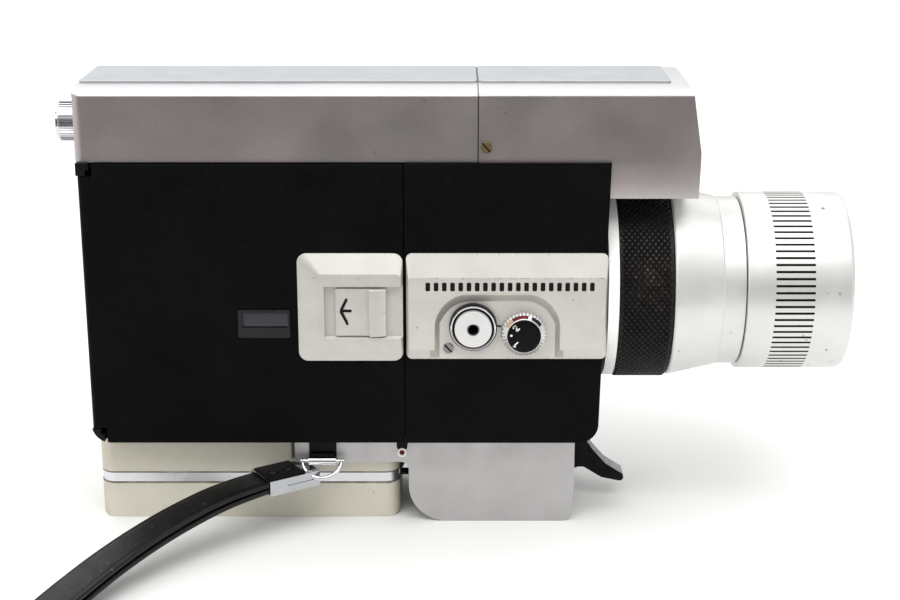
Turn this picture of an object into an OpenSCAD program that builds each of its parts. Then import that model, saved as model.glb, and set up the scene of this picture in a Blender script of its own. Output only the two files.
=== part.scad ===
// Small-format cine camera with a folding grip, modelled as its separate pieces.
// +X runs along the lens, +Z is up, and the near side of the camera faces -Y.
// The origin is the mouth of the tripod socket, on the plane the camera stands on.

/* [Body] */
// Distance from the tripod socket's axis to the back of the body
body_back = 112; // [111:0.5:114]
// Distance from the tripod socket's axis to the front of the body
body_front = 19.7; // [19:0.1:20.5]
// Width of the body over both side panels
body_width = 46; // [45.6:0.2:48]
// Height of the body's underside above the base
body_floor = 24; // [23.6:0.2:24.4]
// Height of the body's top, where the metal covers begin
body_top = 97.3; // [97:0.1:98.5]
// Radius of the body's two bottom corners
body_corner = 5; // [3:0.5:6]
// Thickness of the body's outer walls
wall = 2.3; // [2:0.1:2.6]
// Thickness of the side panels and of the film door
panel_thickness = 2.2; // [2:0.1:2.3]
// Distance from the tripod socket's axis back to the seam between the door and the front panel
door_seam = 31.5; // [31.4:0.1:31.6]

/* [Top covers] */
// Width of the top covers
cover_width = 44; // [43:0.5:45]
// Height of the edge where the covers' sides turn into the top
cover_edge = 114.1; // [113.5:0.1:115]
// Height of the covers' flat top
cover_top = 115.4; // [115.2:0.1:116]
// Distance from the tripod socket's axis back to the joint between the two covers
cover_split = 13.1; // [12:0.1:14]
// Distance from the tripod socket's axis to the front face of the hood
hood_front = 41.7; // [41:0.1:42]
// Height of the hood's underside, above the zoom ring
hood_floor = 87.9; // [87.5:0.1:88.2]
// Thickness of the cover sheet
cover_wall = 1.2; // [1:0.1:1.4]
// How far each side of the hood draws in towards its underside
hood_taper = 1.5; // [1:0.1:1.8]

/* [Lens] */
// Height of the lens axis
lens_axis = 61.2; // [60.9:0.1:61.4]
// Outer radius of the zoom ring
zoom_ring_r = 25.3; // [24.8:0.1:25.5]
// Outer radius of the focus ring
focus_ring_r = 23.2; // [23:0.1:24]
// Distance from the tripod socket's axis to the front of the lens
lens_front = 81.7; // [81:0.1:83]
// Outer radius of the fixed lens tube that the zoom ring turns on
lens_tube_r = 20.6; // [20.4:0.1:20.8]
// Radius of the filter thread
filter_r = 21.5; // [21:0.1:21.8]
// Running clearance of rings and shafts
running_gap = 0.05; // [0.03:0.01:0.09]

/* [Grip] */
// Width of the grip block over its cheeks
block_width = 36; // [35.6:0.2:37]
// Thickness of the block's cheeks and arms
cheek = 2.6; // [2.4:0.1:2.8]
// Width of the folding grip
grip_width = 30.4; // [29.8:0.1:30.5]
// Height of the grip's pivot above the base
pivot_height = 19.4; // [19.2:0.1:19.6]
// Distance from the tripod socket's axis back to the grip's pivot
pivot_back = 32.5; // [32.4:0.1:32.6]
// Radius of the tripod screw thread, a quarter of an inch across
tripod_r = 3.175;
// Depth of the tripod socket
tripod_depth = 8; // [6:0.5:9]

/* [Wrist strap] */
// Width of the strap
strap_width = 9.8; // [9:0.1:9.9]
// Thickness of the strap's leather
strap_thickness = 1.3; // [1.1:0.1:1.3]

/* [Hidden] */
$fn = 64;

black = [0.07, 0.07, 0.07];
satin = [0.72, 0.72, 0.73];
bright = [0.86, 0.86, 0.85];
warm_white = [0.82, 0.81, 0.78];
cream = [0.78, 0.75, 0.66];
chrome = [0.8, 0.8, 0.82];
glass = [0.25, 0.3, 0.38];

// Side faces of the body and of the parts that lie on them
panel_y = body_width / 2;
casting_y = panel_y - panel_thickness - 0.2;
cover_y = cover_width / 2;
front_lean = 1.6;
seam_x = -door_seam;
split_x = -cover_split;
plate_low = 46.5;
plate_high = 74.6;
plate_thickness = 2;

// Rooms inside the casting
partition_y = 4.6;
partition_thickness = 1.6;
chamber_x = [-body_back + wall, seam_x - 2.2];
room_z = [body_floor + wall, body_top - 1.7];
front_room_x = [seam_x, body_front - 3.3];

// Film door hinge
door_axis_x = -body_back + 1.6;
door_axis_y = -panel_y + 1.4;
door_barrel_r = 1.4;
door_barrel_z = [28, 94];
door_pin_r = 0.6;

// Finder
finder_z = 103.8;
finder_r = 4.6;

// Controls on the near side: [x, z]
button_at = [-14.2, 55.8];
dial_at = [-1.5, 54.3];
button_r = 4.66;
dial_r = 5.7;
plate_screw_at = [-20.4, 49.9];
cover_screw_z = 101.1;
screw_hole_r = 0.7;
dial_stem_r = 1.5;
recess_y = -panel_y - 0.6;
window_x = [-73.4, -60.3];
window_z = [52.5, 59.8];

// Lens stations along X
flange_x = [body_front + 1.2, 22.4];
zoom_x = [22.5, 36.1];
sleeve_x = 36.4;
neck_x = [49.5, 54.6];
focus_x = [54.9, lens_front];
tube_front = 70;
tube_bore_r = 18.6;
neck_r = 22;

// Drive train: gear module, teeth and shaft positions as [y, z]
gear_module = 0.5;
shutter_teeth = 42;
pinion_teeth = 12;
wheel_teeth = 48;
shutter_at = [0, lens_axis - 14];
motor_at = [13.2, shutter_at[1] - 2.83];
bracket_x = [-26.5, -25];
gear_x = -31.3;
disc_x = -29.1;
spindle_at = [-66, 61];
worm_r = 3;

// Grip
pivot_x = -pivot_back;
pivot_pin_r = 1.25;
block_x = [-30.8, 12.5];
arm_x = -60.5;
hollow_x = -12.4;
block_y = block_width / 2;
web_z = 22.9;
grip_x = [-112.3, -33.2];
grip_y = grip_width / 2;
spine_z = [10.3, 12.2];
grip_top = 22.4;
knuckle_x = [-38, -33.2];
knuckle_y = 12;
trigger_at = [12, 29];

// Strap
lug_at = [-53.2, -20.4, 18];
lug_tube_r = 1.2;
ring_wire_r = 0.6;
ring_hang = 42;
ring_r = 5;
clip_at = [-68.6, -26.3, 14.3];
clip_turn = 33;
clip_size = [14.4, 10.6, 4];
strap_bend = 0.49;
bend_end = 74;
// Strap route as [distance along the floor plan, height], out on top and back below
strap_route = [
  [-5, 15], [0, 15], [12, 14.1], [24, 12.3], [36, 10.2], [48, 8.1], [60, 6.2], [74, 4.7],
  [90, 4.4], [104, 6.6], [114, 9], [122, 8.6], [125, 5.2], [121, 2.2], [112, 0.9], [98, 0.8],
  [86, 1.2], [74, 2.4], [60, 4.1], [48, 6.1], [36, 8.2], [24, 10.3], [12, 12.2], [0, 13.4], [-5, 13.5]
];
strap_steps = 3;

// ---- helpers ----

// Extrude a drawing of X and Z along Y
module along_y(y0, y1) {
  translate([0, y1, 0])
    rotate([90, 0, 0])
      linear_extrude(y1 - y0)
        children();
}

// Extrude a drawing of Y and Z along X
module along_x(x0, x1) {
  translate([x0, 0, 0])
    rotate([90, 0, 90])
      linear_extrude(x1 - x0)
        children();
}

module rod_x(x0, x1, r, y = 0, z = 0) {
  translate([x0, y, z])
    rotate([0, 90, 0])
      cylinder(h = x1 - x0, r = r);
}

module rod_y(y0, y1, r, x = 0, z = 0) {
  translate([x, y0, z])
    rotate([-90, 0, 0])
      cylinder(h = y1 - y0, r = r);
}

module rod_z(z0, z1, r, x = 0, y = 0) {
  translate([x, y, z0])
    cylinder(h = z1 - z0, r = r);
}

// Ring about an axis along X
module ring_x(x0, x1, outer_r, inner_r, z = lens_axis) {
  difference() {
    rod_x(x0, x1, outer_r, 0, z);
    rod_x(x0 - 1, x1 + 1, inner_r, 0, z);
  }
}

// Solid of revolution about the lens axis from points of [x, r]
module turned(points) {
  translate([0, 0, lens_axis])
    rotate([0, 90, 0])
      rotate_extrude()
        polygon([for (p = points) [p[1], p[0]]]);
}

module box(x, y, z) {
  translate([x[0], y[0], z[0]])
    cube([x[1] - x[0], y[1] - y[0], z[1] - z[0]]);
}

module rounded(x0, y0, x1, y1, r) {
  translate([x0 + r, y0])
    square([x1 - x0 - 2 * r, y1 - y0]);
  translate([x0, y0 + r])
    square([x1 - x0, y1 - y0 - 2 * r]);
  for (x = [x0 + r, x1 - r], y = [y0 + r, y1 - r])
    translate([x, y])
      circle(r);
}

// Side view of the body, its front edge leaning back towards the bottom
module body_outline() {
  front_low = body_front - front_lean;
  r = body_corner;
  polygon([
    [-body_back + r, body_floor], [front_low - r, body_floor], [front_low, body_floor + r],
    [body_front, body_top], [-body_back, body_top], [-body_back, body_floor + r]
  ]);
  for (x = [-body_back + r, front_low - r])
    translate([x, body_floor + r])
      circle(r);
}

// Slotted screw along +Z, the underside of its head at the origin
module slotted_screw(head_r, head_h, shank_r, shank_l, slot_turn = -48) {
  difference() {
    cylinder(h = head_h, r = head_r);
    rotate(slot_turn)
      translate([-head_r, -0.2, head_h - 0.4])
        cube([2 * head_r, 0.4, 1]);
  }
  translate([0, 0, -shank_l])
    cylinder(h = shank_l, r = shank_r);
}

// Flat gear along +Z with straight-flanked teeth, one tooth on +X
module gear(teeth, thickness, bore_r = 0) {
  pitch_r = teeth * gear_module / 2;
  root_r = pitch_r - 1.2 * gear_module;
  tip_r = pitch_r + 0.85 * gear_module;
  half_root = 0.85 * gear_module;
  half_tip = 0.3 * gear_module;
  linear_extrude(thickness)
    difference() {
      union() {
        circle(root_r);
        for (i = [0 : teeth - 1])
          rotate(i * 360 / teeth)
            polygon([
              [root_r - 0.2, -half_root], [tip_r, -half_tip],
              [tip_r, half_tip], [root_r - 0.2, half_root]
            ]);
      }
      if (bore_r > 0) circle(bore_r);
    }
}

// ---- body ----

module body_casting() {
  color(black)
    difference() {
      union() {
        along_y(-casting_y, casting_y) body_outline();
        // Round boss that squares up the leaning front for the lens
        intersection() {
          rod_x(front_room_x[1], body_front, 25, 0, lens_axis);
          box([0, 30], [-casting_y, casting_y], [0, 120]);
        }
        for (z = [[body_floor, door_barrel_z[0] - 0.2], [door_barrel_z[1] + 0.2, body_top]])
          intersection() {
            along_y(-panel_y, 0) body_outline();
            box([-body_back, -body_back + 3.2], [-panel_y, 0], z);
          }
      }
      // Film chamber, open on the near side
      box(chamber_x, [-panel_y - 1, partition_y], room_z);
      // Battery and take-up room, open on the far side
      box(chamber_x, [partition_y + partition_thickness, panel_y + 1], room_z);
      // Mechanism room, open on both sides except for the solid foot that holds the trigger
      difference() {
        box(front_room_x, [-panel_y - 1, panel_y + 1], room_z);
        box([4, body_front], [-casting_y, casting_y], [body_floor, 33]);
      }
      // Film aperture and the seat of the gate plate
      box([seam_x - 3, seam_x + 1], [-3.6, 3.6], [lens_axis - 3, lens_axis + 3]);
      box([seam_x - 3, seam_x - 1.1], [-9.2, 4.2], [44.8, 78.2]);
      // Lens opening
      rod_x(front_room_x[1] - 1, body_front + 1, lens_tube_r + 0.01, 0, lens_axis);
      // Worm shaft and take-up spindle
      rod_x(seam_x - 3, seam_x + 1, worm_r + 0.4, motor_at[0], motor_at[1]);
      rod_y(partition_y - 1, partition_y + 3, 1.5 + running_gap, spindle_at[0], spindle_at[1]);
      // Trigger slot and its pin
      box([4.6, body_front + 1], [-3.3, 3.3], [body_floor - 1, 33.2]);
      rod_y(-9, 9, 1, trigger_at[0], trigger_at[1]);
      // Room for the door's barrel and its pin
      rod_z(door_barrel_z[0] - 0.2, door_barrel_z[1] + 0.2, door_barrel_r + 0.35, door_axis_x, door_axis_y);
      rod_z(body_floor + 1, body_top - 1, door_pin_r, door_axis_x, door_axis_y);
    }
}

module side_panel() {
  color(black)
    difference() {
      intersection() {
        along_y(-panel_y, -casting_y) body_outline();
        box([seam_x + 0.15, body_front + 1], [-panel_y, 0], [0, 120]);
      }
      rod_y(-panel_y - 1, -casting_y + 1, button_r + 0.3, button_at[0], button_at[1]);
      rod_y(-panel_y - 1, -casting_y + 1, dial_stem_r + running_gap, dial_at[0], dial_at[1]);
      rod_y(-panel_y - 1, -casting_y + 1, 0.8, plate_screw_at[0], plate_screw_at[1]);
    }
}

// Battery door opening in the left cover
battery_x = [-108.5, -79.5];
battery_z = [28.5, 80.5];
battery_axis = [panel_y - 1.1, battery_z[0] + 1.5];
counter_at = [-8, 84];

module left_cover() {
  color(black)
    difference() {
      along_y(casting_y, panel_y) body_outline();
      box(battery_x, [0, 30], battery_z);
      rod_x(battery_x[0] - 1.5, battery_x[1] + 1.5, 0.6, battery_axis[0], battery_axis[1]);
      // Counter window
      box([counter_at[0] - 2.5, counter_at[0] + 2.5], [0, 30], [counter_at[1] + 3, counter_at[1] + 6]);
      rod_y(casting_y - 1, casting_y + 1.2, 1, counter_at[0], counter_at[1]);
    }
}

module battery_door() {
  gap = 0.2;
  color(black) {
    difference() {
      union() {
        box(battery_x + [gap, -gap], [casting_y + 0.2, panel_y], [battery_axis[1], battery_z[1] - gap]);
        rod_x(battery_x[0] + gap, battery_x[1] - gap, 1, battery_axis[0], battery_axis[1]);
      }
      // Thumb groove
      for (i = [0 : 3])
        rod_x(-98, -90, 0.5, panel_y + 0.2, battery_z[1] - 4 - 1.6 * i);
    }
    rod_x(battery_x[0] - 1.4, battery_x[1] + 1.4, 0.6 - running_gap, battery_axis[0], battery_axis[1]);
  }
}

// Coil springs and tabs that the two cells press on
module battery_contacts() {
  color(chrome) {
    for (x = [-101.5, -87]) {
      translate([x, 13.6, room_z[0] + 0.6])
        for (i = [0 : 3])
          translate([0, 0, i * 0.9])
            rotate_extrude()
              translate([4 - 0.6 * i, 0])
                circle(0.35, $fn = 16);
      rod_z(room_z[0], room_z[0] + 0.4, 5, x, 13.6);
      rod_z(room_z[0] + 0.2, room_z[0] + 3.6, 2.1, x, 13.6);
    }
    box([-107, -81.5], [8.6, 18.6], [80.4, 80.8]);
    box([-107, -81.5], [partition_y + partition_thickness, 8.8], [80.4, 84]);
  }
}

module counter_dial() {
  y0 = casting_y - 1.6;
  color(warm_white) {
    rod_y(y0, casting_y - 0.4, 8, counter_at[0], counter_at[1]);
    rod_y(casting_y - 0.5, casting_y + 0.9, 1 - running_gap, counter_at[0], counter_at[1]);
  }
}

// ---- top covers ----

module cover_section(inset, floor_z) {
  y = cover_y - inset;
  polygon([
    [-y, floor_z], [y, floor_z], [y, cover_edge - inset - 0.3], [y - 0.4, cover_edge - inset],
    [y - 9.6, cover_top - inset], [-y + 9.6, cover_top - inset],
    [-y + 0.4, cover_edge - inset], [-y, cover_edge - inset - 0.3]
  ]);
}

module rear_top_cover() {
  r = 2.5;
  back = -body_back - 0.5;
  color(satin)
    difference() {
      intersection() {
        along_x(back, split_x) cover_section(0, body_top + 0.05);
        linear_extrude(200) {
          translate([back + r, -cover_y]) square([split_x - back - r, cover_width]);
          translate([back, -cover_y + r]) square([r + 1, cover_width - 2 * r]);
          for (s = [-1, 1])
            translate([back + r, s * (cover_y - r)]) circle(r);
        }
      }
      along_x(back + cover_wall, split_x - cover_wall) cover_section(cover_wall, 0);
      // Sleeve hole for the eyepiece and the passage of the finder tube
      rod_x(back - 1, back + 5, finder_r, 0, finder_z);
      rod_x(split_x - 5, split_x + 5, finder_r + 0.4, 0, finder_z);
    }
}

// Side view of the front cover: a hood that overhangs the lens
module hood_outline(inset) {
  polygon([
    [split_x + inset, body_top + 0.05], [body_front + 0.05 + inset, body_top + 0.05],
    [body_front + 0.05 + inset, hood_floor + inset],
    [hood_front - inset, hood_floor + inset], [hood_front - inset, 99.7],
    [hood_front - 3.2 - inset, 120], [split_x + inset, 120]
  ]);
}

// Section of the front cover below the body's top, drawn in towards its underside
module hood_section(inset) {
  y = cover_y - inset;
  polygon([
    [-y + hood_taper, hood_floor], [y - hood_taper, hood_floor], [y, body_top],
    [y, 120], [-y, 120], [-y, body_top]
  ]);
}

module front_top_cover() {
  color(satin)
    difference() {
      intersection() {
        along_x(split_x, hood_front) cover_section(0, hood_floor);
        along_x(split_x, hood_front) hood_section(0);
        along_y(-30, 30) hood_outline(0);
      }
      intersection() {
        along_x(split_x + cover_wall, hood_front) cover_section(cover_wall, 0);
        along_x(split_x, hood_front) hood_section(cover_wall);
        along_y(-30, 30) hood_outline(cover_wall);
      }
      // The underside over the body is open
      box([split_x + cover_wall, body_front - 1], [-cover_y + cover_wall, cover_y - cover_wall], [90, 100]);
      rod_x(split_x - 5, split_x + 5, finder_r + 0.4, 0, finder_z);
      // Finder window and meter window
      box([36, 50], [-6, 6], [99.9, 107.7]);
      rod_x(36, 50, 2.6, -13, 104);
      for (s = [-1, 1])
        rod_y(s * cover_y - 3, s * cover_y + 3, screw_hole_r, split_x + 2, cover_screw_z);
    }
}

module top_plate(x0, x1) {
  color(bright)
    translate([0, 0, cover_top])
      linear_extrude(0.5)
        rounded(x0, -12, x1, 12, 1);
}

module rear_top_plate() {
  top_plate(-body_back - 0.2, split_x - 0.2);
}

module front_top_plate() {
  top_plate(split_x + 0.2, 35);
}

// One screw on each side holds the front cover
module cover_screws() {
  color([0.62, 0.55, 0.42])
    for (s = [-1, 1])
      translate([split_x + 2, s * cover_y, cover_screw_z])
        rotate([-90 * s, 0, 0])
          slotted_screw(1.4, 0.5, screw_hole_r, 4);
}

module finder_tube() {
  color(black)
    difference() {
      union() {
        rod_x(-118.4, 34, finder_r, 0, finder_z);
        for (x = [-100, -50, 0])
          box([x, x + 3], [-3, 3], [body_top, finder_z - 3]);
      }
      rod_x(-130, 50, finder_r - 0.9, 0, finder_z);
    }
}

module finder_window() {
  color(glass)
    box([hood_front - 2.6, hood_front - 1.6], [-6, 6], [99.9, 107.7]);
}

module meter_window() {
  color(glass)
    rod_x(hood_front - 2.6, hood_front - 1.2, 2.6, -13, 104);
}

module eyepiece_glass() {
  color(glass)
    rod_x(-117, -115, finder_r - 0.9, 0, finder_z);
}

module eyepiece_ring() {
  color(chrome)
    difference() {
      union() {
        rod_x(-120.4, -113, 5.3, 0, finder_z);
        rod_x(-119.6, -113.8, 5.6, 0, finder_z);
      }
      rod_x(-130, -119.4, 3.4, 0, finder_z);
      rod_x(-119.4, -110, finder_r + running_gap, 0, finder_z);
    }
}

// ---- film door ----

slider_x = [-48.7, -36];
slider_z = [53.5, 65.7];
stem_z = [58, 61.5];
latch_floor_y = -panel_y - 0.4;

module film_door() {
  inner_y = -panel_y + panel_thickness;
  color(black)
    difference() {
      union() {
        intersection() {
          along_y(-panel_y, inner_y) body_outline();
          box([door_axis_x, seam_x - 0.15], [-panel_y, 0], [0, body_top - 0.2]);
        }
        rod_z(door_barrel_z[0], door_barrel_z[1], door_barrel_r, door_axis_x, door_axis_y);
      }
      // Corners cut away round the casting's hinge lugs
      for (z = [[0, door_barrel_z[0]], [door_barrel_z[1], 120]])
        box([-130, -body_back + 3.9], [-30, 0], z);
      rod_z(0, 120, door_pin_r + running_gap, door_axis_x, door_axis_y);
      box(window_x, [-30, 0], window_z);
      // Slot for the slider's stem
      box([-46.6, -37.8], [-30, 0], stem_z + [-0.2, 0.2]);
    }
}

module door_hinge_pin() {
  color(chrome)
    rod_z(body_floor + 1, body_top - 1, door_pin_r, door_axis_x, door_axis_y);
}

module window_frame() {
  color(satin)
    difference() {
      along_y(-panel_y - 0.3, -panel_y + panel_thickness)
        rounded(window_x[0], window_z[0], window_x[1], window_z[1], 0.4);
      along_y(-30, -panel_y + panel_thickness + 1)
        rounded(window_x[0] + 1.2, 55.1, window_x[1] - 0.6, 59.3, 0.4);
    }
}

module window_pane() {
  color(glass)
    along_y(-panel_y + 0.5, -panel_y + 1.3)
      rounded(window_x[0] + 1.2, 55.1, window_x[1] - 0.6, 59.3, 0.4);
}

// Frustum-shaped plate on the near side: the back outline and a smaller face
module bevelled_plate(x, z, r, x_bevel, low_bevel, high_bevel, thickness) {
  hull() {
    along_y(-panel_y - 0.5, -panel_y)
      rounded(x[0], z[0], x[1], z[1], r, $fn = 32);
    along_y(-panel_y - thickness, -panel_y)
      rounded(x[0] + x_bevel[0], z[0] + low_bevel, x[1] - x_bevel[1], z[1] - high_bevel, r / 2, $fn = 32);
  }
}

module latch_plate() {
  color(warm_white)
    difference() {
      bevelled_plate([-58.2, seam_x - 0.3], [plate_low, plate_high], 2.4, [5, 0.5], 5, 5, plate_thickness);
      box([-51.5, -31], [-30, latch_floor_y], [53, 66.4]);
      // Slot for the slider's stem
      box([-46.6, -37.8], [-30, 0], stem_z + [-0.2, 0.2]);
    }
}

module latch_slider() {
  face_y = -panel_y - 1.6;
  color(warm_white)
    difference() {
      union() {
        box(slider_x, [face_y, latch_floor_y - 0.1], slider_z);
        // Raised finger ridge
        intersection() {
          rod_z(slider_z[0], slider_z[1], 5, slider_x[1] - 3, face_y + 3.8);
          box([-40.2, slider_x[1]], [-30, latch_floor_y - 0.1], slider_z);
        }
        // Stem through the door and the foot behind it
        box([-44, -38.2], [latch_floor_y - 0.2, -panel_y + panel_thickness + 0.2], stem_z);
        box([-46.5, -35.5], [-panel_y + panel_thickness + 0.1, -panel_y + panel_thickness + 1], [56, 63.5]);
      }
      // Engraved arrow that points the way the slider goes
      translate([-47.3, face_y, 60])
        for (stroke = [[-64, 3.2], [0, 2.6], [64, 3.4]])
          rotate([0, stroke[0], 0])
            translate([0, -0.3, -0.35])
              cube([stroke[1], 0.6, 0.7]);
    }
}

// ---- control plate ----

module arch(x0, x1, z1, r) {
  rounded(x0, plate_low, x1, z1, r, $fn = 48);
  translate([x0, plate_low - 5])
    square([x1 - x0, 15]);
}

module control_plate() {
  color(warm_white)
    difference() {
      bevelled_plate([seam_x + 0.5, body_front - 0.2], [plate_low + 0.5, plate_high],
        1.5, [0.6, 0.6], 3, 5.9,
        plate_thickness);
      // Arched recess with sloping walls, open at the bottom
      hull() {
        along_y(-panel_y - plate_thickness - 0.01, -panel_y - plate_thickness)
          arch(-23.9, 7.7, 63.5, 9.1);
        along_y(recess_y - 0.01, recess_y)
          arch(-22.6, 6.4, 62.2, 7.8);
      }
      rod_y(-30, 0, 6, button_at[0], button_at[1]);
      rod_y(-30, 0, dial_stem_r + running_gap, dial_at[0], dial_at[1]);
      rod_y(-30, 0, 0.8, plate_screw_at[0], plate_screw_at[1]);
    }
}

module plate_screw() {
  color(chrome)
    translate([plate_screw_at[0], recess_y, plate_screw_at[1]])
      rotate([90, 0, 0])
        slotted_screw(1.3, 0.5, 0.8, 2.4);
}

module button_collar() {
  color(black)
    difference() {
      rod_y(-panel_y - 2.6, -panel_y, 6, button_at[0], button_at[1]);
      rod_y(-30, 0, button_r + 0.1, button_at[0], button_at[1]);
    }
}

module release_button() {
  top_y = -panel_y - 4;
  color(chrome)
    difference() {
      union() {
        rod_y(top_y, -panel_y - 0.4, button_r, button_at[0], button_at[1]);
        rod_y(-panel_y - 0.5, -13.6, 1.6, button_at[0], button_at[1]);
      }
      // Tapered socket for a cable release
      translate([button_at[0], top_y - 0.01, button_at[1]])
        rotate([-90, 0, 0])
          cylinder(h = 6, r1 = 1.3, r2 = 0.8);
    }
}

// Switch that the button's stem pushes, on an arm from the motor bracket
module release_switch() {
  color(black) {
    box([-18.5, -10], [-10.8, -6.5], [52, 59.6]);
    box([bracket_x[1], -18.4], [-9, -6], [54, 58]);
    rod_y(-10.9, -10.7, 1.2, button_at[0], button_at[1]);
  }
}

module mode_dial() {
  top_y = -panel_y - 5;
  color(chrome)
    difference() {
      union() {
        rod_y(-panel_y - 3.6, recess_y - 0.2, dial_r, dial_at[0], dial_at[1]);
        rod_y(top_y, -panel_y - 3.4, 4.26, dial_at[0], dial_at[1]);
        rod_y(-panel_y - 1, -casting_y + 2, dial_stem_r, dial_at[0], dial_at[1]);
        rod_y(-casting_y + 0.4, -casting_y + 1.4, 2.6, dial_at[0], dial_at[1]);
      }
      // Grip flutes round the rim
      for (i = [0 : 35])
        rotate_about(dial_at, i * 10)
          rod_y(-30, recess_y + 1, 0.25, dial_at[0] + dial_r + 0.08, dial_at[1], $fn = 16);
    }
}

// Turn children about an axis along Y through the point [x, z]
module rotate_about(at, angle) {
  translate([at[0], 0, at[1]])
    rotate([0, angle, 0])
      translate([-at[0], 0, -at[1]])
        children();
}

// ---- lens ----

module lens_flange() {
  color(bright)
    ring_x(body_front, flange_x[1], 25, lens_tube_r);
}

module lens_tube() {
  color(black) {
    ring_x(14, tube_front, lens_tube_r, tube_bore_r);
    // Square foot that screws to the inside of the casting's front wall
    difference() {
      box([13, front_room_x[1]], [-20.2, 20.2], [lens_axis - 23.5, lens_axis + 23.5]);
      rod_x(0, 20, tube_bore_r, 0, lens_axis);
    }
  }
}

module zoom_ring() {
  color(black)
    ring_x(zoom_x[0], zoom_x[1], zoom_ring_r, lens_tube_r + running_gap);
}

module barrel_sleeve() {
  bore = lens_tube_r;
  color(bright)
    turned([
      [sleeve_x, bore], [sleeve_x, 24.6], [sleeve_x + 0.5, 24.9], [37.6, 24.8], [48.9, 22.3],
      [49.2, neck_r], [neck_x[1], neck_r], [neck_x[1], bore]
    ]);
}

module focus_ring() {
  front = focus_x[1];
  color(bright)
    turned([
      [focus_x[0], lens_tube_r + running_gap], [focus_x[0], focus_ring_r - 0.3],
      [focus_x[0] + 0.3, focus_ring_r], [front - 0.8, focus_ring_r], [front - 0.25, focus_ring_r - 0.25],
      [front, focus_ring_r - 0.8], [front, filter_r], [front - 3.5, filter_r], [front - 3.5, 20.95],
      [tube_front + 0.1, 20.95], [tube_front + 0.1, lens_tube_r + running_gap]
    ]);
}

// Front cell, driven along the axis by the focus ring
module front_cell() {
  color(black)
    turned([
      [62, 18.5], [70.3, 18.5], [70.3, 20.8], [77.6, 20.8], [77.6, 18.2], [75.4, 16.6],
      [71, 16.6], [71, 17.2], [62, 17.2]
    ]);
}

module front_glass() {
  color(glass)
    turned([
      [71, 0], [71, 16.6], [74.6, 16.6], [75.4, 13], [76, 9], [76.4, 4.5], [76.5, 0]
    ]);
}

module variator_cell() {
  color(black)
    ring_x(38, 46, tube_bore_r - running_gap, 12);
}

module variator_glass() {
  color(glass)
    turned([[40, 0], [40, 12], [44, 12], [43.2, 8], [42.9, 4], [42.8, 0]]);
}

module iris_plate() {
  color(black)
    difference() {
      ring_x(22, 23.2, tube_bore_r, 3);
      for (i = [0 : 5])
        translate([21, 0, lens_axis])
          rotate([i * 60, 0, 0])
            translate([0, 14, 0])
              rotate([0, 90, 0])
                cylinder(h = 4, r = 0.6);
    }
}

module rear_cell() {
  color(black)
    difference() {
      union() {
        ring_x(13, 15.6, tube_bore_r, 7);
        ring_x(-8, 15.6, 9, 7);
      }
      rod_x(-20, 20, 7, 0, lens_axis);
    }
}

module rear_glass() {
  color(glass)
    turned([[8, 0], [8.4, 4], [9, 7], [12, 7], [12.6, 4], [13, 0]]);
}

// ---- mechanism ----

module film_gate() {
  x0 = seam_x - 2.5;
  color(chrome)
    difference() {
      union() {
        box([x0, seam_x - 1.1], [-9, 4], [45, 78]);
        for (y = [-4.4, 3.4])
          box([x0 - 0.25, x0 + 0.1], [y, y + 0.6], [47, 76]);
      }
      box([x0 - 2, seam_x], [-2.9, 2.9], [lens_axis - 2.1, lens_axis + 2.1]);
      // Slot for the pull-down claw
      box([x0 - 2, seam_x], [3.05, 3.35], [lens_axis - 6, lens_axis + 1]);
    }
}

// Disc with an open sector, its gear behind it and a shaft in the bracket
module shutter_disc() {
  inner = 11.3;
  outer = 25;
  color(black) {
    difference() {
      rod_x(disc_x, disc_x + 0.5, 17.4, shutter_at[0], shutter_at[1]);
      translate([disc_x - 2, shutter_at[0], shutter_at[1]])
        rotate([90, 0, 90])
          linear_extrude(4)
            polygon([
              for (a = [-75, -40, -5]) inner * [cos(a), sin(a)],
              for (a = [-5, -40, -75]) outer * [cos(a), sin(a)]
            ]);
    }
    translate([gear_x, shutter_at[0], shutter_at[1]])
      rotate([90, 0, 90])
        gear(shutter_teeth, disc_x - gear_x + 0.1);
    rod_x(gear_x, bracket_x[1] + 0.8, 1.2, shutter_at[0], shutter_at[1]);
  }
}

module motor_bracket() {
  color(satin)
    difference() {
      box(bracket_x, [-18, 18], room_z);
      rod_x(-30, -20, 8.5, 0, lens_axis);
      rod_x(-30, -20, 1.2 + running_gap, shutter_at[0], shutter_at[1]);
    }
}

module drive_motor() {
  color(satin)
    difference() {
      union() {
        rod_x(chamber_x[1] - 18, chamber_x[1], 6.8, motor_at[0], motor_at[1]);
        rod_x(chamber_x[1] - 1, chamber_x[1] + 1, worm_r + 0.4, motor_at[0], motor_at[1]);
      }
      rod_x(chamber_x[1] - 20, 0, 1 + running_gap, motor_at[0], motor_at[1]);
    }
}

// One shaft carries the shutter pinion and, behind the wall, the take-up worm
module motor_shaft() {
  step = 360 / pinion_teeth;
  mesh_angle = atan2(shutter_at[1] - motor_at[1], shutter_at[0] - motor_at[0]);
  shutter_phase = (mesh_angle - 180) * shutter_teeth / pinion_teeth;
  color(chrome) {
    rod_x(-76, disc_x - 0.2, 1, motor_at[0], motor_at[1]);
    rod_x(-75, -56, worm_r, motor_at[0], motor_at[1]);
    translate([gear_x, motor_at[0], motor_at[1]])
      rotate([90, 0, 90])
        rotate(mesh_angle + step / 2 + shutter_phase)
          gear(pinion_teeth, disc_x - gear_x - 0.2);
  }
}

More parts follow.
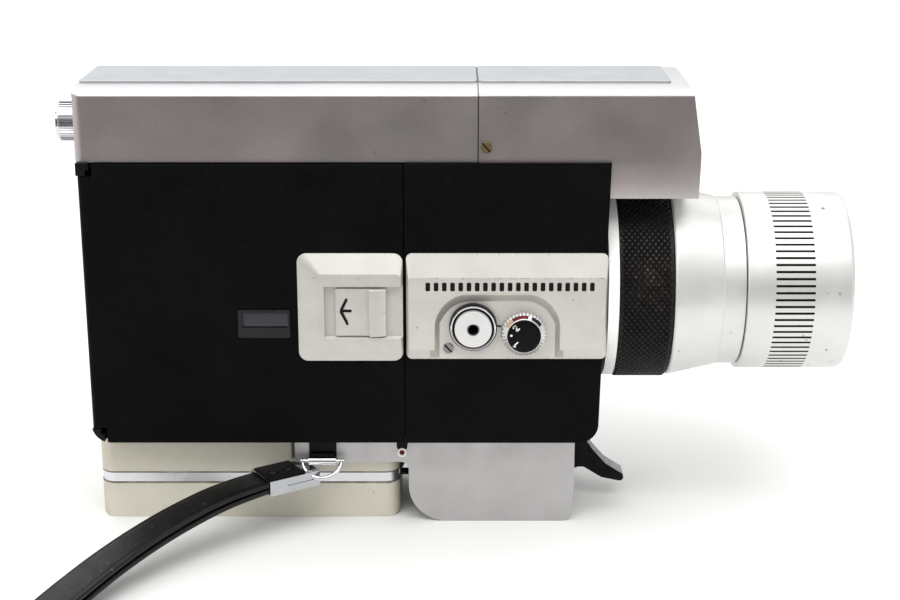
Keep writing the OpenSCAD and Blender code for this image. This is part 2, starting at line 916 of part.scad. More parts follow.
// Dogs that turn the film core, and the worm wheel on the other side of the partition
module takeup_spindle() {
  wheel_r = wheel_teeth * gear_module / 2;
  color(chrome) {
    rod_y(partition_y - 0.4, motor_at[0] + 1.5, 1.5, spindle_at[0], spindle_at[1]);
    rod_y(1.8, partition_y - 0.3, 4.6, spindle_at[0], spindle_at[1]);
    for (i = [0 : 2])
      rotate_about(spindle_at, i * 120)
        box([spindle_at[0] + 2.4, spindle_at[0] + 4.2], [-0.6, 2],
          [spindle_at[1] - 0.6, spindle_at[1] + 0.6]);
    translate([spindle_at[0], motor_at[0] + 1.5, spindle_at[1]])
      rotate([90, 0, 0])
        cylinder(h = 3, r = spindle_at[1] - motor_at[1] - worm_r - 0.15);
    rod_y(motor_at[0] - 2.6, motor_at[0] + 2.6, wheel_r / 3, spindle_at[0], spindle_at[1]);
  }
}

// ---- grip ----

// Side view of the block: a body with a rounded rear corner and an arm at the top
module block_outline() {
  r = 10;
  front_r = 3;
  difference() {
    union() {
      translate([block_x[0], r])
        square([block_x[1] - block_x[0], body_floor - r]);
      translate([block_x[0] + r, 0])
        square([block_x[1] - block_x[0] - r - front_r - 0.5, r]);
      // Front edge, leaning slightly, with its lower corner rounded
      polygon([
        [block_x[1] - front_r - 0.5, 0], [block_x[1] - 0.5, front_r], [block_x[1], r],
        [block_x[1] - front_r - 0.5, r]
      ]);
      translate([block_x[1] - front_r - 0.5, front_r])
        circle(front_r);
      translate([block_x[0] + r, r])
        circle(r);
      translate([arm_x, 16.7])
        square([block_x[0] - arm_x + 1, body_floor - 16.7]);
      // Fillet where the arm meets the body
      translate([block_x[0] - 2, 14.7])
        difference() {
          square([3, 3]);
          circle(2);
        }
    }
    // Notch over the pivot
    translate([-33.9, 21.6])
      square([2.9, 4]);
  }
}

module grip_block() {
  inner = block_y - cheek;
  color(satin)
    difference() {
      along_y(-block_y, block_y) block_outline();
      // Hollow between the cheeks for the grip
      box([-70, hollow_x], [-inner, inner], [-1, web_z]);
      // Slot for the trigger
      box([8.4, 20], [-3.3, 3.3], [-1, 30]);
      // Tripod bush
      rod_z(-1, 12, 5.5);
      rod_y(-30, 30, pivot_pin_r, pivot_x, pivot_height);
    }
}

module tripod_bush() {
  color([0.7, 0.6, 0.4])
    difference() {
      rod_z(0, 12, 5.5);
      rod_z(-1, tripod_depth, tripod_r);
    }
}

module grip_pivot_pin() {
  color(chrome)
    difference() {
      rod_y(-block_y, block_y, pivot_pin_r, pivot_x, pivot_height);
      for (s = [-1, 1])
        rod_y(s * block_y - 1, s * block_y + 1, 0.65, pivot_x, pivot_height);
    }
}

module grip_outline(z0, z1, low_r, high_r) {
  x0 = grip_x[0];
  x1 = grip_x[1];
  translate([x0, z0 + low_r])
    square([x1 - x0, z1 - z0 - low_r - high_r]);
  translate([x0 + low_r, z0])
    square([x1 - x0 - 2 * low_r, z1 - z0 - high_r]);
  translate([x0 + high_r, z0 + low_r])
    square([x1 - x0 - 2 * high_r, z1 - z0 - low_r]);
  for (x = [x0 + low_r, x1 - low_r])
    translate([x, z0 + low_r]) circle(low_r);
  for (x = [x0 + high_r, x1 - high_r])
    translate([x, z1 - high_r]) circle(high_r);
}

// Hand-width prism with rounded upright corners
module grip_plan(inset = 0) {
  linear_extrude(40)
    rounded(grip_x[0] + inset, -grip_y + inset, grip_x[1] - inset, grip_y - inset, 4 - inset);
}

module lower_grip_shell() {
  color(cream)
    difference() {
      intersection() {
        along_y(-grip_y, grip_y) grip_outline(0, spine_z[0] - 0.3, 2, 0.3);
        grip_plan();
      }
      translate([0, 0, 2]) grip_plan(2);
    }
}

module upper_grip_shell() {
  color(cream)
    difference() {
      intersection() {
        along_y(-grip_y, grip_y) grip_outline(spine_z[1] + 0.3, grip_top, 0.3, 1.5);
        grip_plan();
      }
      intersection() {
        translate([0, 0, -17.6]) grip_plan(2);
        box([-130, knuckle_x[0] - 2], [-20, 20], [0, 40]);
      }
      // The front is cut back round the knuckle and the pivot pin
      box([knuckle_x[0] - 0.2, 0], [-knuckle_y - 0.3, knuckle_y + 0.3], [0, 40]);
      box([knuckle_x[0] - 0.2, 0], [-20, 20], [16.2, 40]);
    }
}

// Bright plate between the shells, with the knuckle that turns on the pivot pin
module grip_spine() {
  plate_z = [spine_z[0] - 0.3, spine_z[1] + 0.3];
  color(chrome)
    difference() {
      union() {
        intersection() {
          box([grip_x[0] + 0.2, grip_x[1] - 0.2], [-20, 20], plate_z);
          grip_plan(0.2);
        }
        along_y(-knuckle_y, knuckle_y) {
          translate([pivot_x, pivot_height]) circle(3);
          polygon([
            [pivot_x - 2.6, pivot_height + 1.5], [pivot_x + 2.9, pivot_height - 0.8],
            [grip_x[1] - 0.3, plate_z[0] + 1], [knuckle_x[0], plate_z[0] + 1]
          ]);
        }
        // Peg that stops the folded grip
        rod_x(grip_x[1] - 1, -31, 0.9, -knuckle_y + 1, 11.3);
      }
      rod_y(-30, 30, pivot_pin_r + running_gap, pivot_x, pivot_height);
    }
}

// ---- trigger ----

module trigger() {
  color(black)
    difference() {
      union() {
        rod_y(-3, 3, 3, trigger_at[0], trigger_at[1]);
        along_y(-3, 3)
          polygon([
            [10.2, 27], [14.9, 29], [16.6, 22], [16.8, 16.9], [18.6, 14.2], [22.1, 10.2], [26.3, 7.5],
            [26.9, 7.2], [27.1, 6], [26.6, 5.2], [25.6, 5.2], [21, 6.2], [16.2, 9.2], [14.6, 9.2],
            [12.9, 8.5], [12.9, 22]
          ]);
      }
      rod_y(-5, 5, 1 + running_gap, trigger_at[0], trigger_at[1]);
    }
}

module trigger_pin() {
  color(chrome)
    rod_y(-8, 8, 1, trigger_at[0], trigger_at[1]);
}

// ---- strap ----

// Black foot on the arm that holds the bright tube
module strap_bracket() {
  color(black)
    difference() {
      union() {
        box([-56.2, -50.1], [lug_at[1] + 0.3, -block_y], [lug_at[2] + 0.2, lug_at[2] + 1.8]);
        box([-56.7, -49.6], [-block_y - 0.7, -block_y], [17, 23.6]);
      }
      rod_x(-60, -45, lug_tube_r, lug_at[1], lug_at[2]);
    }
}

// Tube that the ring turns in
module strap_tube() {
  color(chrome)
    difference() {
      rod_x(-56.7, -49.6, lug_tube_r, lug_at[1], lug_at[2]);
      rod_x(-60, -45, ring_wire_r + running_gap, lug_at[1], lug_at[2]);
    }
}

// Half circle of wire that hangs outwards from the tube
module ring_bow(wire_r) {
  translate(lug_at)
    rotate([ring_hang, 0, 0])
      rotate(180)
        rotate_extrude(angle = 180)
          translate([ring_r, 0])
            circle(wire_r, $fn = 24);
}

// Wire ring: a straight leg through the tube and the bow
module strap_ring() {
  leg = ring_r + ring_wire_r;
  color(chrome) {
    rod_x(lug_at[0] - leg, lug_at[0] + leg, ring_wire_r, lug_at[1], lug_at[2]);
    ring_bow(ring_wire_r);
  }
}

module in_clip() {
  translate(clip_at)
    rotate(clip_turn)
      children();
}

module strap_clip() {
  jaw_line = 0.2;
  corner_cut = 4;
  color(chrome)
    difference() {
      in_clip()
        difference() {
          translate([0, -clip_size[1] / 2, -clip_size[2] / 2])
            cube(clip_size);
          // Mouth that takes both ends of the strap
          translate([-1, -strap_width / 2 - 0.1, -1.75])
            cube([6.6, strap_width + 0.2, 3.4]);
          // Line between the two jaws on the near side
          translate([5, -clip_size[1] / 2 - 1, -jaw_line / 2])
            cube([20, 1.4, jaw_line]);
          // Far corner cut away beside the bracket
          translate([clip_size[0] - corner_cut, clip_size[1] / 2, -5])
            rotate(-45)
              cube([8, 8, 10]);
        }
      // Channel that the ring's bow lies in
      ring_bow(ring_wire_r + running_gap);
    }
}

module clip_rivets() {
  plate_width = 9.4;
  color(black)
    difference() {
      in_clip() {
        translate([0.5, -plate_width / 2, clip_size[2] / 2])
          cube([9.9, plate_width, 0.35]);
        for (x = [3.4, 8])
          translate([x, 0, clip_size[2] / 2 + 0.3])
            cylinder(h = 0.5, r1 = 1.9, r2 = 1.4);
      }
      ring_bow(ring_wire_r + running_gap);
    }
}

// Floor plan of the strap: it leaves the clip and turns towards the near side
function strap_heading(s) = 180 + clip_turn + strap_bend * min(max(s, 0), bend_end);
function strap_plan(s) =
  s <= 0 ? [clip_at[0], clip_at[1]] + s * [cos(strap_heading(0)), sin(strap_heading(0))]
  : strap_plan(s - min(s, 2)) + min(s, 2) * [cos(strap_heading(s)), sin(strap_heading(s))];
// Catmull-Rom curve through the route
function route_at(i) = strap_route[max(0, min(len(strap_route) - 1, i))];
function blend(a, b, c, d, t) =
  0.5 * (2 * b + t * (c - a) + t * t * (2 * a - 5 * b + 4 * c - d) + t * t * t * (3 * b - a - 3 * c + d));
strap_curve = [
  for (i = [0 : len(strap_route) - 2], k = [0 : strap_steps - 1])
    blend(route_at(i - 1), route_at(i), route_at(i + 1), route_at(i + 2), k / strap_steps),
  strap_route[len(strap_route) - 1]
];

// Four corners of the strap's section at step i of the curve
function strap_section(i) =
  let (
    n = len(strap_curve),
    p = strap_curve[i],
    d = strap_curve[min(i + 1, n - 1)] - strap_curve[max(i - 1, 0)],
    u = d / norm(d),
    plan = strap_plan(p[0]),
    h = strap_heading(p[0]),
    half_t = strap_thickness / 2,
    side = strap_width / 2 * [-sin(h), cos(h), 0],
    out = half_t * [-u[1] * cos(h), -u[1] * sin(h), u[0]],
    centre = [plan[0], plan[1], p[1]]
  )
  [centre - side - out, centre + side - out, centre + side + out, centre - side + out];

module wrist_strap() {
  n = len(strap_curve);
  points = [for (i = [0 : n - 1]) each strap_section(i)];
  sides = [
    for (i = [0 : n - 2], k = [0 : 3])
      [4 * i + k, 4 * i + (k + 1) % 4, 4 * i + 4 + (k + 1) % 4, 4 * i + 4 + k]
  ];
  color(black)
    polyhedron(points, concat([[3, 2, 1, 0]], sides, [[for (k = [0 : 3]) 4 * (n - 1) + k]]));
}

body_casting();
side_panel();
left_cover();
rear_top_cover();
front_top_cover();
rear_top_plate();
front_top_plate();
cover_screws();
finder_tube();
finder_window();
meter_window();
eyepiece_glass();
eyepiece_ring();
film_door();
door_hinge_pin();
window_frame();
window_pane();
latch_plate();
latch_slider();
control_plate();
plate_screw();
button_collar();
release_button();
release_switch();
mode_dial();
lens_flange();
lens_tube();
zoom_ring();
barrel_sleeve();
focus_ring();
front_cell();
front_glass();
variator_cell();
variator_glass();
iris_plate();
rear_cell();
rear_glass();
film_gate();
shutter_disc();
motor_bracket();
drive_motor();
motor_shaft();
takeup_spindle();
counter_dial();
battery_door();
battery_contacts();
grip_block();
tripod_bush();
grip_pivot_pin();
upper_grip_shell();
lower_grip_shell();
grip_spine();
trigger();
trigger_pin();
strap_bracket();
strap_tube();
strap_ring();
strap_clip();
clip_rivets();
wrist_strap();
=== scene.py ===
"""Looks of the cine camera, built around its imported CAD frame. Lengths in the helpers are millimetres."""

import math

import bmesh
import bpy
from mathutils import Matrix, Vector


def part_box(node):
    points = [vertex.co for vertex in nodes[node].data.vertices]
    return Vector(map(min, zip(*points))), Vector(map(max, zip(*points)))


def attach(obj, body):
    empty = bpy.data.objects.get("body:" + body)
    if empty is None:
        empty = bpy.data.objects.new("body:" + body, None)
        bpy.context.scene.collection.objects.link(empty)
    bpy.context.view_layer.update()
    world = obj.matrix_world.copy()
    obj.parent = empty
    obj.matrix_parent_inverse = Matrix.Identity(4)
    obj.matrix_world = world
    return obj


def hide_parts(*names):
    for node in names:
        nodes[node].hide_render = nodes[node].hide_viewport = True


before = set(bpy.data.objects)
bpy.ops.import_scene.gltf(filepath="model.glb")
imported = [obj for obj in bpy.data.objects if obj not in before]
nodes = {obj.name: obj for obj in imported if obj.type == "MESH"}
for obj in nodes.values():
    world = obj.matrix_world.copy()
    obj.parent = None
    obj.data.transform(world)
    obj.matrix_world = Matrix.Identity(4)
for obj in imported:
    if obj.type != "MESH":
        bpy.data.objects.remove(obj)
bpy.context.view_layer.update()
MM = 0.001
AXIS_Z = 61.2                  # height of the lens axis
LENS = (0.0, AXIS_Z)
scene = bpy.context.scene


# ---------------------------------------------------------------- materials

class Look:
    """One node material. self.at is the place on the object in millimetres."""

    def __init__(self, name, **constants):
        self.material = bpy.data.materials.new(name)
        self.material.use_nodes = True
        self.tree = self.material.node_tree
        self.tree.nodes.clear()
        output = self.tree.nodes.new("ShaderNodeOutputMaterial")
        self.shader = self.tree.nodes.new("ShaderNodeBsdfPrincipled")
        self.tree.links.new(self.shader.outputs[0], output.inputs[0])
        coordinates = self.tree.nodes.new("ShaderNodeTexCoord")
        self.facing = coordinates.outputs["Normal"]
        self.at = self.vector("SCALE", coordinates.outputs["Object"], scale=1000.0)
        self.height = None
        for key, value in constants.items():
            self.shader.inputs[key.replace("_", " ")].default_value = value

    def put(self, socket, value):
        if isinstance(value, bpy.types.NodeSocket):
            self.tree.links.new(value, socket)
        elif value is not None:
            socket.default_value = value

    def vector(self, operation, a, b=None, scale=None):
        node = self.tree.nodes.new("ShaderNodeVectorMath")
        node.operation = operation
        self.put(node.inputs[0], a)
        self.put(node.inputs[1], b)
        if scale is not None:
            node.inputs["Scale"].default_value = scale
        return node.outputs["Value" if operation in ("DOT_PRODUCT", "LENGTH", "DISTANCE") else "Vector"]

    def math(self, operation, a, b=None):
        node = self.tree.nodes.new("ShaderNodeMath")
        node.operation = operation
        self.put(node.inputs[0], a)
        self.put(node.inputs[1], b)
        return node.outputs[0]

    def axis(self, index, vector=None):
        node = self.tree.nodes.new("ShaderNodeSeparateXYZ")
        self.put(node.inputs[0], self.at if vector is None else vector)
        return node.outputs[index]

    def spread(self, value, low, high, to_low=0.0, to_high=1.0):
        node = self.tree.nodes.new("ShaderNodeMapRange")
        node.clamp = True
        self.put(node.inputs[0], value)
        for socket, number in zip(list(node.inputs)[1:5], (low, high, to_low, to_high)):
            socket.default_value = number
        return node.outputs[0]

    def noise(self, size, detail=3.0, rough=0.5, stretch=(1, 1, 1), shift=0.0):
        """Noise from 0 to 1 whose features are about size millimetres across."""
        place = self.vector("MULTIPLY", self.at, tuple(s / size for s in stretch))
        if shift:
            place = self.vector("ADD", place, (shift, shift * 0.7, -shift))
        node = self.tree.nodes.new("ShaderNodeTexNoise")
        self.put(node.inputs["Vector"], place)
        node.inputs["Scale"].default_value = 1.0
        node.inputs["Detail"].default_value = detail
        node.inputs["Roughness"].default_value = rough
        return node.outputs["Fac"]

    def cells(self, size, feature="F1", warp=0.0):
        """Distance pattern of rounded cells about size millimetres across."""
        place = self.vector("MULTIPLY", self.at, (1 / size, 1 / size, 1 / size))
        if warp:
            node = self.tree.nodes.new("ShaderNodeTexNoise")
            self.put(node.inputs["Vector"], place)
            node.inputs["Scale"].default_value = 0.8
            place = self.vector("ADD", place, self.vector("SCALE", node.outputs["Color"], scale=warp))
        node = self.tree.nodes.new("ShaderNodeTexVoronoi")
        node.feature = feature
        node.inputs["Scale"].default_value = 1.0
        self.put(node.inputs["Vector"], place)
        return node.outputs["Distance"]

    def mix(self, factor, a, b):
        node = self.tree.nodes.new("ShaderNodeMix")
        node.data_type = "RGBA"
        self.put(node.inputs[0], factor)
        self.put(node.inputs[6], a)
        self.put(node.inputs[7], b)
        return node.outputs[2]

    def colour(self, value):
        self.put(self.shader.inputs["Base Color"], value)

    def rough(self, value):
        self.put(self.shader.inputs["Roughness"], value)

    def bump(self, height, depth):
        """Adds relief of the given depth in millimetres."""
        node = self.tree.nodes.new("ShaderNodeBump")
        node.inputs["Strength"].default_value = 1.0
        node.inputs["Distance"].default_value = depth * MM
        self.put(node.inputs["Height"], height)
        if self.height is not None:
            self.put(node.inputs["Normal"], self.height)
        self.height = node.outputs[0]
        self.put(self.shader.inputs["Normal"], self.height)

    def specks(self, size, amount, shift=0.0):
        """Small separate spots: 1 inside a spot, 0 outside."""
        spot = self.spread(self.cells(size, warp=0.5), 0.10, 0.16, 1.0, 0.0)
        pick = self.spread(self.noise(size * 3.1, 1.0, shift=shift + 3.3), 0.5 + amount, 0.56 + amount)
        return self.math("MULTIPLY", spot, pick)

    def near_edges(self, low, high, axes, width):
        """1 at the given box's faces along these axes, falling to 0 a width inside."""
        nearest = None
        for k in axes:
            place = self.axis(k)
            for gap in (self.math("SUBTRACT", place, low[k]), self.math("SUBTRACT", high[k], place)):
                nearest = gap if nearest is None else self.math("MINIMUM", nearest, gap)
        return self.spread(nearest, 0.0, width, 1.0, 0.0)


def rgb(r, g, b):
    """Screen colour 0 to 255 as linear colour."""
    def linear(c):
        c /= 255.0
        return c / 12.92 if c <= 0.04045 else ((c + 0.055) / 1.055) ** 2.4
    return (linear(r), linear(g), linear(b), 1.0)


def shade(colour, factor):
    return tuple(min(1.0, c * factor) for c in colour[:3]) + (1.0,)


def box_mm(name):
    """A node's two corners in millimetres."""
    return [[v / MM for v in corner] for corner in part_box(name)]


def metal(name, colour, roughness, grain=0.004, grain_size=0.25, metallic=1.0,
          brush=None, marks=0.2, tone=0.06):
    """Bare or plated metal: fine grain, cloudy tone, rubbed patches and a few scratches."""
    look = Look(name, Metallic=metallic)
    cloud = look.noise(9.0, 4.0, 0.6)
    fine = look.noise(grain_size, 2.0, 0.6, stretch=brush or (1, 1, 1))
    scratch = look.spread(look.noise(0.5, 2.0, 0.5, stretch=(0.12, 1.6, 1.3), shift=5.0), 0.66, 0.74)
    tinted = look.mix(look.spread(cloud, 0.3, 0.7), shade(colour, 1 - tone), shade(colour, 1 + tone))
    look.colour(look.mix(look.math("MULTIPLY", scratch, marks), tinted, shade(colour, 0.55)))
    soft = look.spread(look.noise(5.0, 3.0, 0.65, shift=2.0), 0.3, 0.7, roughness * 0.8, roughness * 1.25)
    look.rough(look.math("ADD", soft, look.math("MULTIPLY", fine, roughness * 0.15)))
    look.bump(fine, grain)
    look.bump(look.math("MULTIPLY", scratch, -1.0), 0.004)
    return look.material


def plastic(name, colour, roughness, grain=0.01, grain_size=0.35, tone=0.25, gloss=0.2):
    """Moulded plastic or enamel with a spark-eroded skin and faint scuffs."""
    look = Look(name)
    look.shader.inputs["Specular IOR Level"].default_value = gloss
    skin = look.noise(grain_size, 3.0, 0.6)
    cloud = look.noise(7.0, 3.0, 0.6, shift=1.0)
    scuff = look.spread(look.noise(1.4, 4.0, 0.7, stretch=(0.4, 1, 1.4), shift=4.0), 0.62, 0.76)
    base = look.mix(look.spread(cloud, 0.3, 0.7), shade(colour, 1 - tone), shade(colour, 1 + tone))
    look.colour(look.mix(look.math("MULTIPLY", scuff, 0.25), base, shade(colour, 2.2)))
    look.rough(look.spread(look.math("ADD", cloud, look.math("MULTIPLY", scuff, 0.4)), 0.3, 1.0,
                           roughness * 0.85, min(1.0, roughness * 1.3)))
    look.bump(skin, grain)
    return look.material


def leather(name, colour, cell, depth, roughness):
    """Grained leather cloth: pebbles with creases between them, and dusty rubbed places."""
    look = Look(name)
    look.shader.inputs["Specular IOR Level"].default_value = 0.055
    crease = look.cells(cell, "DISTANCE_TO_EDGE", warp=0.9)
    pebble = look.spread(crease, 0.0, 0.28)
    small = look.noise(cell * 0.45, 3.0, 0.6)
    cloud = look.noise(17.0, 4.0, 0.6)
    dust = look.specks(2.2, 0.09)
    base = look.mix(pebble, shade(colour, 0.55), shade(colour, 1.15))
    base = look.mix(look.spread(cloud, 0.32, 0.72), base, shade(colour, 1.55))
    look.colour(look.mix(look.math("MULTIPLY", dust, 0.35), base, shade(colour, 6.0)))
    look.rough(look.spread(look.math("ADD", look.math("MULTIPLY", pebble, -0.35), cloud), -0.1, 0.75,
                           roughness * 0.85, roughness * 1.2))
    look.bump(pebble, depth)
    look.bump(small, depth * 0.35)
    look.bump(cloud, depth * 0.8)
    return look.material


def glass(name, tint, roughness=0.02, depth=0.0):
    look = Look(name, Metallic=0.0, IOR=1.5)
    look.shader.inputs["Transmission Weight"].default_value = 0.85
    look.shader.inputs["Coat Weight"].default_value = 0.6
    look.shader.inputs["Coat Tint"].default_value = (0.62, 0.55, 0.95, 1.0)
    smear = look.noise(4.0, 4.0, 0.65)
    look.colour(look.mix(look.spread(smear, 0.35, 0.75), tint, shade(tint, 0.82)))
    look.rough(look.spread(smear, 0.35, 0.8, roughness, roughness + 0.05))
    look.bump(look.noise(1.2, 2.0), 0.0015 + depth)
    return look.material


def housing_look():
    """Satin silver lacquer of the top housing: metallic flakes under a soft cloud of tone. Faces turned up
    carry a painted highlight and faces turned down a painted reflection of the pale floor.
    """
    colour = rgb(187, 180, 179)
    look = Look("housing_lacquer", Metallic=0.86)
    look.shader.inputs["Coat Weight"].default_value = 0.12
    look.shader.inputs["Coat Roughness"].default_value = 0.35
    flake = look.cells(0.16)
    warm = look.noise(22.0, 3.0, 0.55)
    cool = look.noise(14.0, 3.0, 0.55, shift=6.0)
    base = look.mix(look.spread(warm, 0.35, 0.7), shade(colour, 0.9), rgb(195, 184, 181))
    base = look.mix(look.spread(cool, 0.45, 0.75, 0.0, 0.7), base, rgb(184, 182, 181))
    streak = look.spread(look.noise(0.6, 2.0, 0.5, stretch=(0.07, 1.5, 1.5), shift=3.0), 0.68, 0.76)
    base = look.mix(look.math("MULTIPLY", streak, 0.2), base, shade(colour, 0.6))
    sparkle = look.noise(0.22, 2.0, 0.8, shift=12.0)
    base = look.mix(look.spread(sparkle, 0.35, 0.65, 0.0, 0.4), base, shade(colour, 0.6))
    # Painted highlight: faces turned up are lightened. Painted reflection of the pale floor: faces turned
    # down are lightened.
    base = look.mix(look.spread(look.axis(2, look.facing), 0.5, 0.95, 0.0, 0.8), base, rgb(226, 226, 227))
    base = look.mix(look.spread(look.axis(2, look.facing), -0.3, -0.1, 0.85, 0.0), base, rgb(226, 226, 224))
    base = look.mix(look.math("MULTIPLY", look.specks(3.0, 0.12), 0.4), base, shade(colour, 0.35))
    seam = look.math("ABSOLUTE", look.math("SUBTRACT", look.axis(0), -13.1))
    look.colour(look.mix(look.spread(seam, 0.1, 0.2, 0.85, 0.0), base, rgb(30, 28, 28)))
    look.rough(look.spread(look.math("ADD", look.math("MULTIPLY", flake, 0.5), warm), 0.35, 1.0, 0.27, 0.4))
    look.bump(flake, 0.012)
    look.bump(look.noise(1.1, 3.0), 0.006)
    return look.material


PLATE_CREASE = 5.95            # from a plate's top edge down to the line where its bevel starts
ARCH_X = (-25.0, 8.6)          # sides of the control plate's arched recess
ARCH_TOP = 64.2
ARCH_RIM_Y, ARCH_FLOOR_Y = -24.97, -23.6


def plate_look(name, low, high, tone=1.0, soil=1.0, groove=False):
    """Warm white enamel on the bevelled side plates, chipped and soiled along its edges, with a painted
    highlight on faces turned up and, with groove, painted shade on the walls of the arched recess.
    """
    colour = shade(rgb(205, 202, 195), tone)
    look = Look(name, Metallic=0.35)
    look.shader.inputs["Coat Weight"].default_value = 0.25
    look.shader.inputs["Coat Roughness"].default_value = 0.25
    cloud = look.noise(6.0, 4.0, 0.6)
    edge = look.near_edges(low, high, (0, 2), 0.8)
    chips = look.spread(look.noise(0.7, 4.0, 0.75), 0.55, 0.62)
    worn = look.math("MULTIPLY", edge, chips)
    from_crease = look.math("ABSOLUTE", look.math("SUBTRACT", look.axis(2), high[2] - PLATE_CREASE))
    crease = look.spread(from_crease, 0.0, 0.42, 1.0, 0.0)
    grime = look.math("MULTIPLY", crease, look.spread(look.noise(1.3, 4.0, 0.75, shift=8.0), 0.5, 0.66))
    grime = look.math("MAXIMUM", grime, look.specks(2.6, 0.1, 1.0))
    hair = look.spread(look.noise(0.55, 3.0, 0.6, stretch=(0.25, 1, 1.4), shift=9.0), 0.70, 0.76)
    base = look.mix(look.spread(cloud, 0.3, 0.7), shade(colour, 0.94), shade(colour, 1.03))
    base = look.mix(look.math("MULTIPLY", hair, 0.25 * soil), base, rgb(150, 146, 140))
    base = look.mix(look.math("MULTIPLY", grime, 0.6 * soil), base, rgb(92, 84, 76))
    # Painted highlight on faces turned up, such as the top bevel
    lit = look.spread(look.axis(2, look.facing), 0.12, 0.3)
    base = look.mix(look.math("MULTIPLY", lit, 0.85), base, rgb(243, 241, 235))
    # Painted shade on the sloping walls of the arched recess
    if groove:
        x, y, z = (look.axis(k) for k in range(3))
        inside = look.math("MULTIPLY", look.spread(x, ARCH_X[0] - 0.2, ARCH_X[0] + 0.2),
                           look.spread(x, ARCH_X[1] - 0.2, ARCH_X[1] + 0.2, 1.0, 0.0))
        inside = look.math("MULTIPLY", inside, look.spread(z, ARCH_TOP - 0.2, ARCH_TOP + 0.2, 1.0, 0.0))
        wall = look.math("MULTIPLY", look.spread(y, ARCH_RIM_Y, ARCH_RIM_Y + 0.17),
                         look.spread(y, ARCH_FLOOR_Y - 0.25, ARCH_FLOOR_Y, 1.0, 0.0))
        shaded = look.math("MULTIPLY", wall, look.math("MULTIPLY", inside, 0.8))
        base = look.mix(shaded, base, rgb(158, 154, 148))
    look.colour(look.mix(look.math("MULTIPLY", worn, 0.45 * soil), base, rgb(120, 110, 98)))
    look.rough(look.spread(look.math("ADD", cloud, look.math("MULTIPLY", grime, 0.5)), 0.3, 1.0, 0.3, 0.5))
    look.bump(look.noise(0.4, 3.0), 0.004)
    look.bump(look.math("MULTIPLY", look.math("MAXIMUM", worn, hair), -1.0), 0.02)
    return look.material


SPINE_MIDDLE_Z = 11.25
BLOCK_END_X = -61.0            # rear end of the block's arm above the grip


def cream_look():
    """Ivory plastic of the folding grip, mottled and yellowed, darker in its corners, with a painted shadow
    beside the end of the block's arm.
    """
    colour = rgb(202, 198, 184)
    look = Look("grip_ivory")
    look.shader.inputs["Specular IOR Level"].default_value = 0.45
    look.shader.inputs["Subsurface Weight"].default_value = 0.08
    look.shader.inputs["Subsurface Radius"].default_value = (0.004, 0.003, 0.0015)
    cloud = look.noise(11.0, 5.0, 0.6, stretch=(0.5, 1, 1.2))
    patch = look.noise(5.0, 4.0, 0.65, shift=7.0)
    base = look.mix(look.spread(cloud, 0.3, 0.7), shade(colour, 0.94), rgb(207, 203, 188))
    base = look.mix(look.spread(patch, 0.55, 0.8, 0.0, 0.5), base, rgb(184, 176, 148))
    low, high = box_mm("lower_grip_shell")
    grime = look.near_edges(low, high, (0,), 3.0)
    grime = look.math("MULTIPLY", grime, look.spread(patch, 0.3, 0.7, 0.1, 0.5))
    base = look.mix(grime, base, rgb(170, 162, 132))
    base = look.mix(look.math("MULTIPLY", look.specks(4.0, 0.08), 0.5), base, rgb(120, 108, 84))
    x, z = look.axis(0), look.axis(2)
    middle = look.math("ABSOLUTE", look.math("SUBTRACT", z, SPINE_MIDDLE_Z))
    seam = look.math("MULTIPLY", look.spread(middle, 1.6, 1.75, 1.0, 0.0),
                     look.spread(patch, 0.2, 0.6, 0.5, 0.9))
    # Painted shadow in the gap beside the end of the block's arm, in the same dark as the seam
    from_end = look.math("ABSOLUTE", look.math("SUBTRACT", x, BLOCK_END_X))
    arm_end_painted_shadow = look.math("MULTIPLY", look.spread(from_end, 0.4, 1.0, 0.9, 0.0), look.spread(z, 16.2, 17.0))
    look.colour(look.mix(look.math("MAXIMUM", seam, arm_end_painted_shadow), base, rgb(52, 44, 38)))
    look.rough(look.spread(patch, 0.3, 0.8, 0.34, 0.52))
    look.bump(look.noise(0.5, 3.0), 0.008)
    look.bump(cloud, 0.03)
    return look.material


def barrel_look(name, metallic=0.55, pits=(), tone=0.9):
    """Pale satin anodised aluminium of the lens, turned, with tiny dents."""
    colour = shade(rgb(232, 232, 229), tone)
    look = Look(name, Metallic=metallic)
    turned = look.noise(0.3, 2.0, 0.6, stretch=(2.2, 0.05, 0.05))
    cloud = look.noise(8.0, 4.0, 0.6)
    dents = look.math("MULTIPLY", look.specks(3.1, 0.13, 2.0), 0.5)
    for place, size in pits:
        away = look.vector("DISTANCE", look.at, place)
        dents = look.math("MAXIMUM", dents, look.spread(away, size * 0.6, size, 1.0, 0.0))
    base = look.mix(look.spread(cloud, 0.3, 0.7), shade(colour, 0.95), shade(colour, 1.02))
    look.colour(look.mix(look.math("MULTIPLY", dents, 0.8), base, rgb(80, 72, 60)))
    look.rough(look.spread(look.math("ADD", cloud, look.math("MULTIPLY", turned, 0.3)), 0.3, 1.0, 0.33, 0.46))
    look.bump(turned, 0.003)
    look.bump(look.math("MULTIPLY", dents, -1.0), 0.05)
    return look.material


def spine_look():
    """Polished strip between the grip shells; its knuckle and peg are coloured near-black."""
    look = Look("spine_strip", Metallic=0.9)
    colour = rgb(222, 220, 225)
    brushed = look.noise(0.4, 2.0, 0.6, stretch=(0.1, 1.0, 2.0))
    cloud = look.noise(8.0, 3.0, 0.6)
    dark = look.math("MAXIMUM", look.spread(look.axis(2), 12.5, 12.7),
                     look.spread(look.axis(0), -33.5, -33.3))
    base = look.mix(look.spread(cloud, 0.3, 0.7), shade(colour, 0.94), shade(colour, 1.04))
    base = look.mix(look.spread(brushed, 0.62, 0.72, 0.0, 0.2), base, shade(colour, 0.5))
    look.colour(look.mix(dark, base, look.mix(cloud, rgb(14, 14, 15), rgb(34, 34, 35))))
    look.rough(look.spread(cloud, 0.3, 0.7, 0.18, 0.3))
    look.bump(brushed, 0.003)
    return look.material


RUBBED_AT = (30.5, -24, 67.5)  # where a finger turns the zoom grip


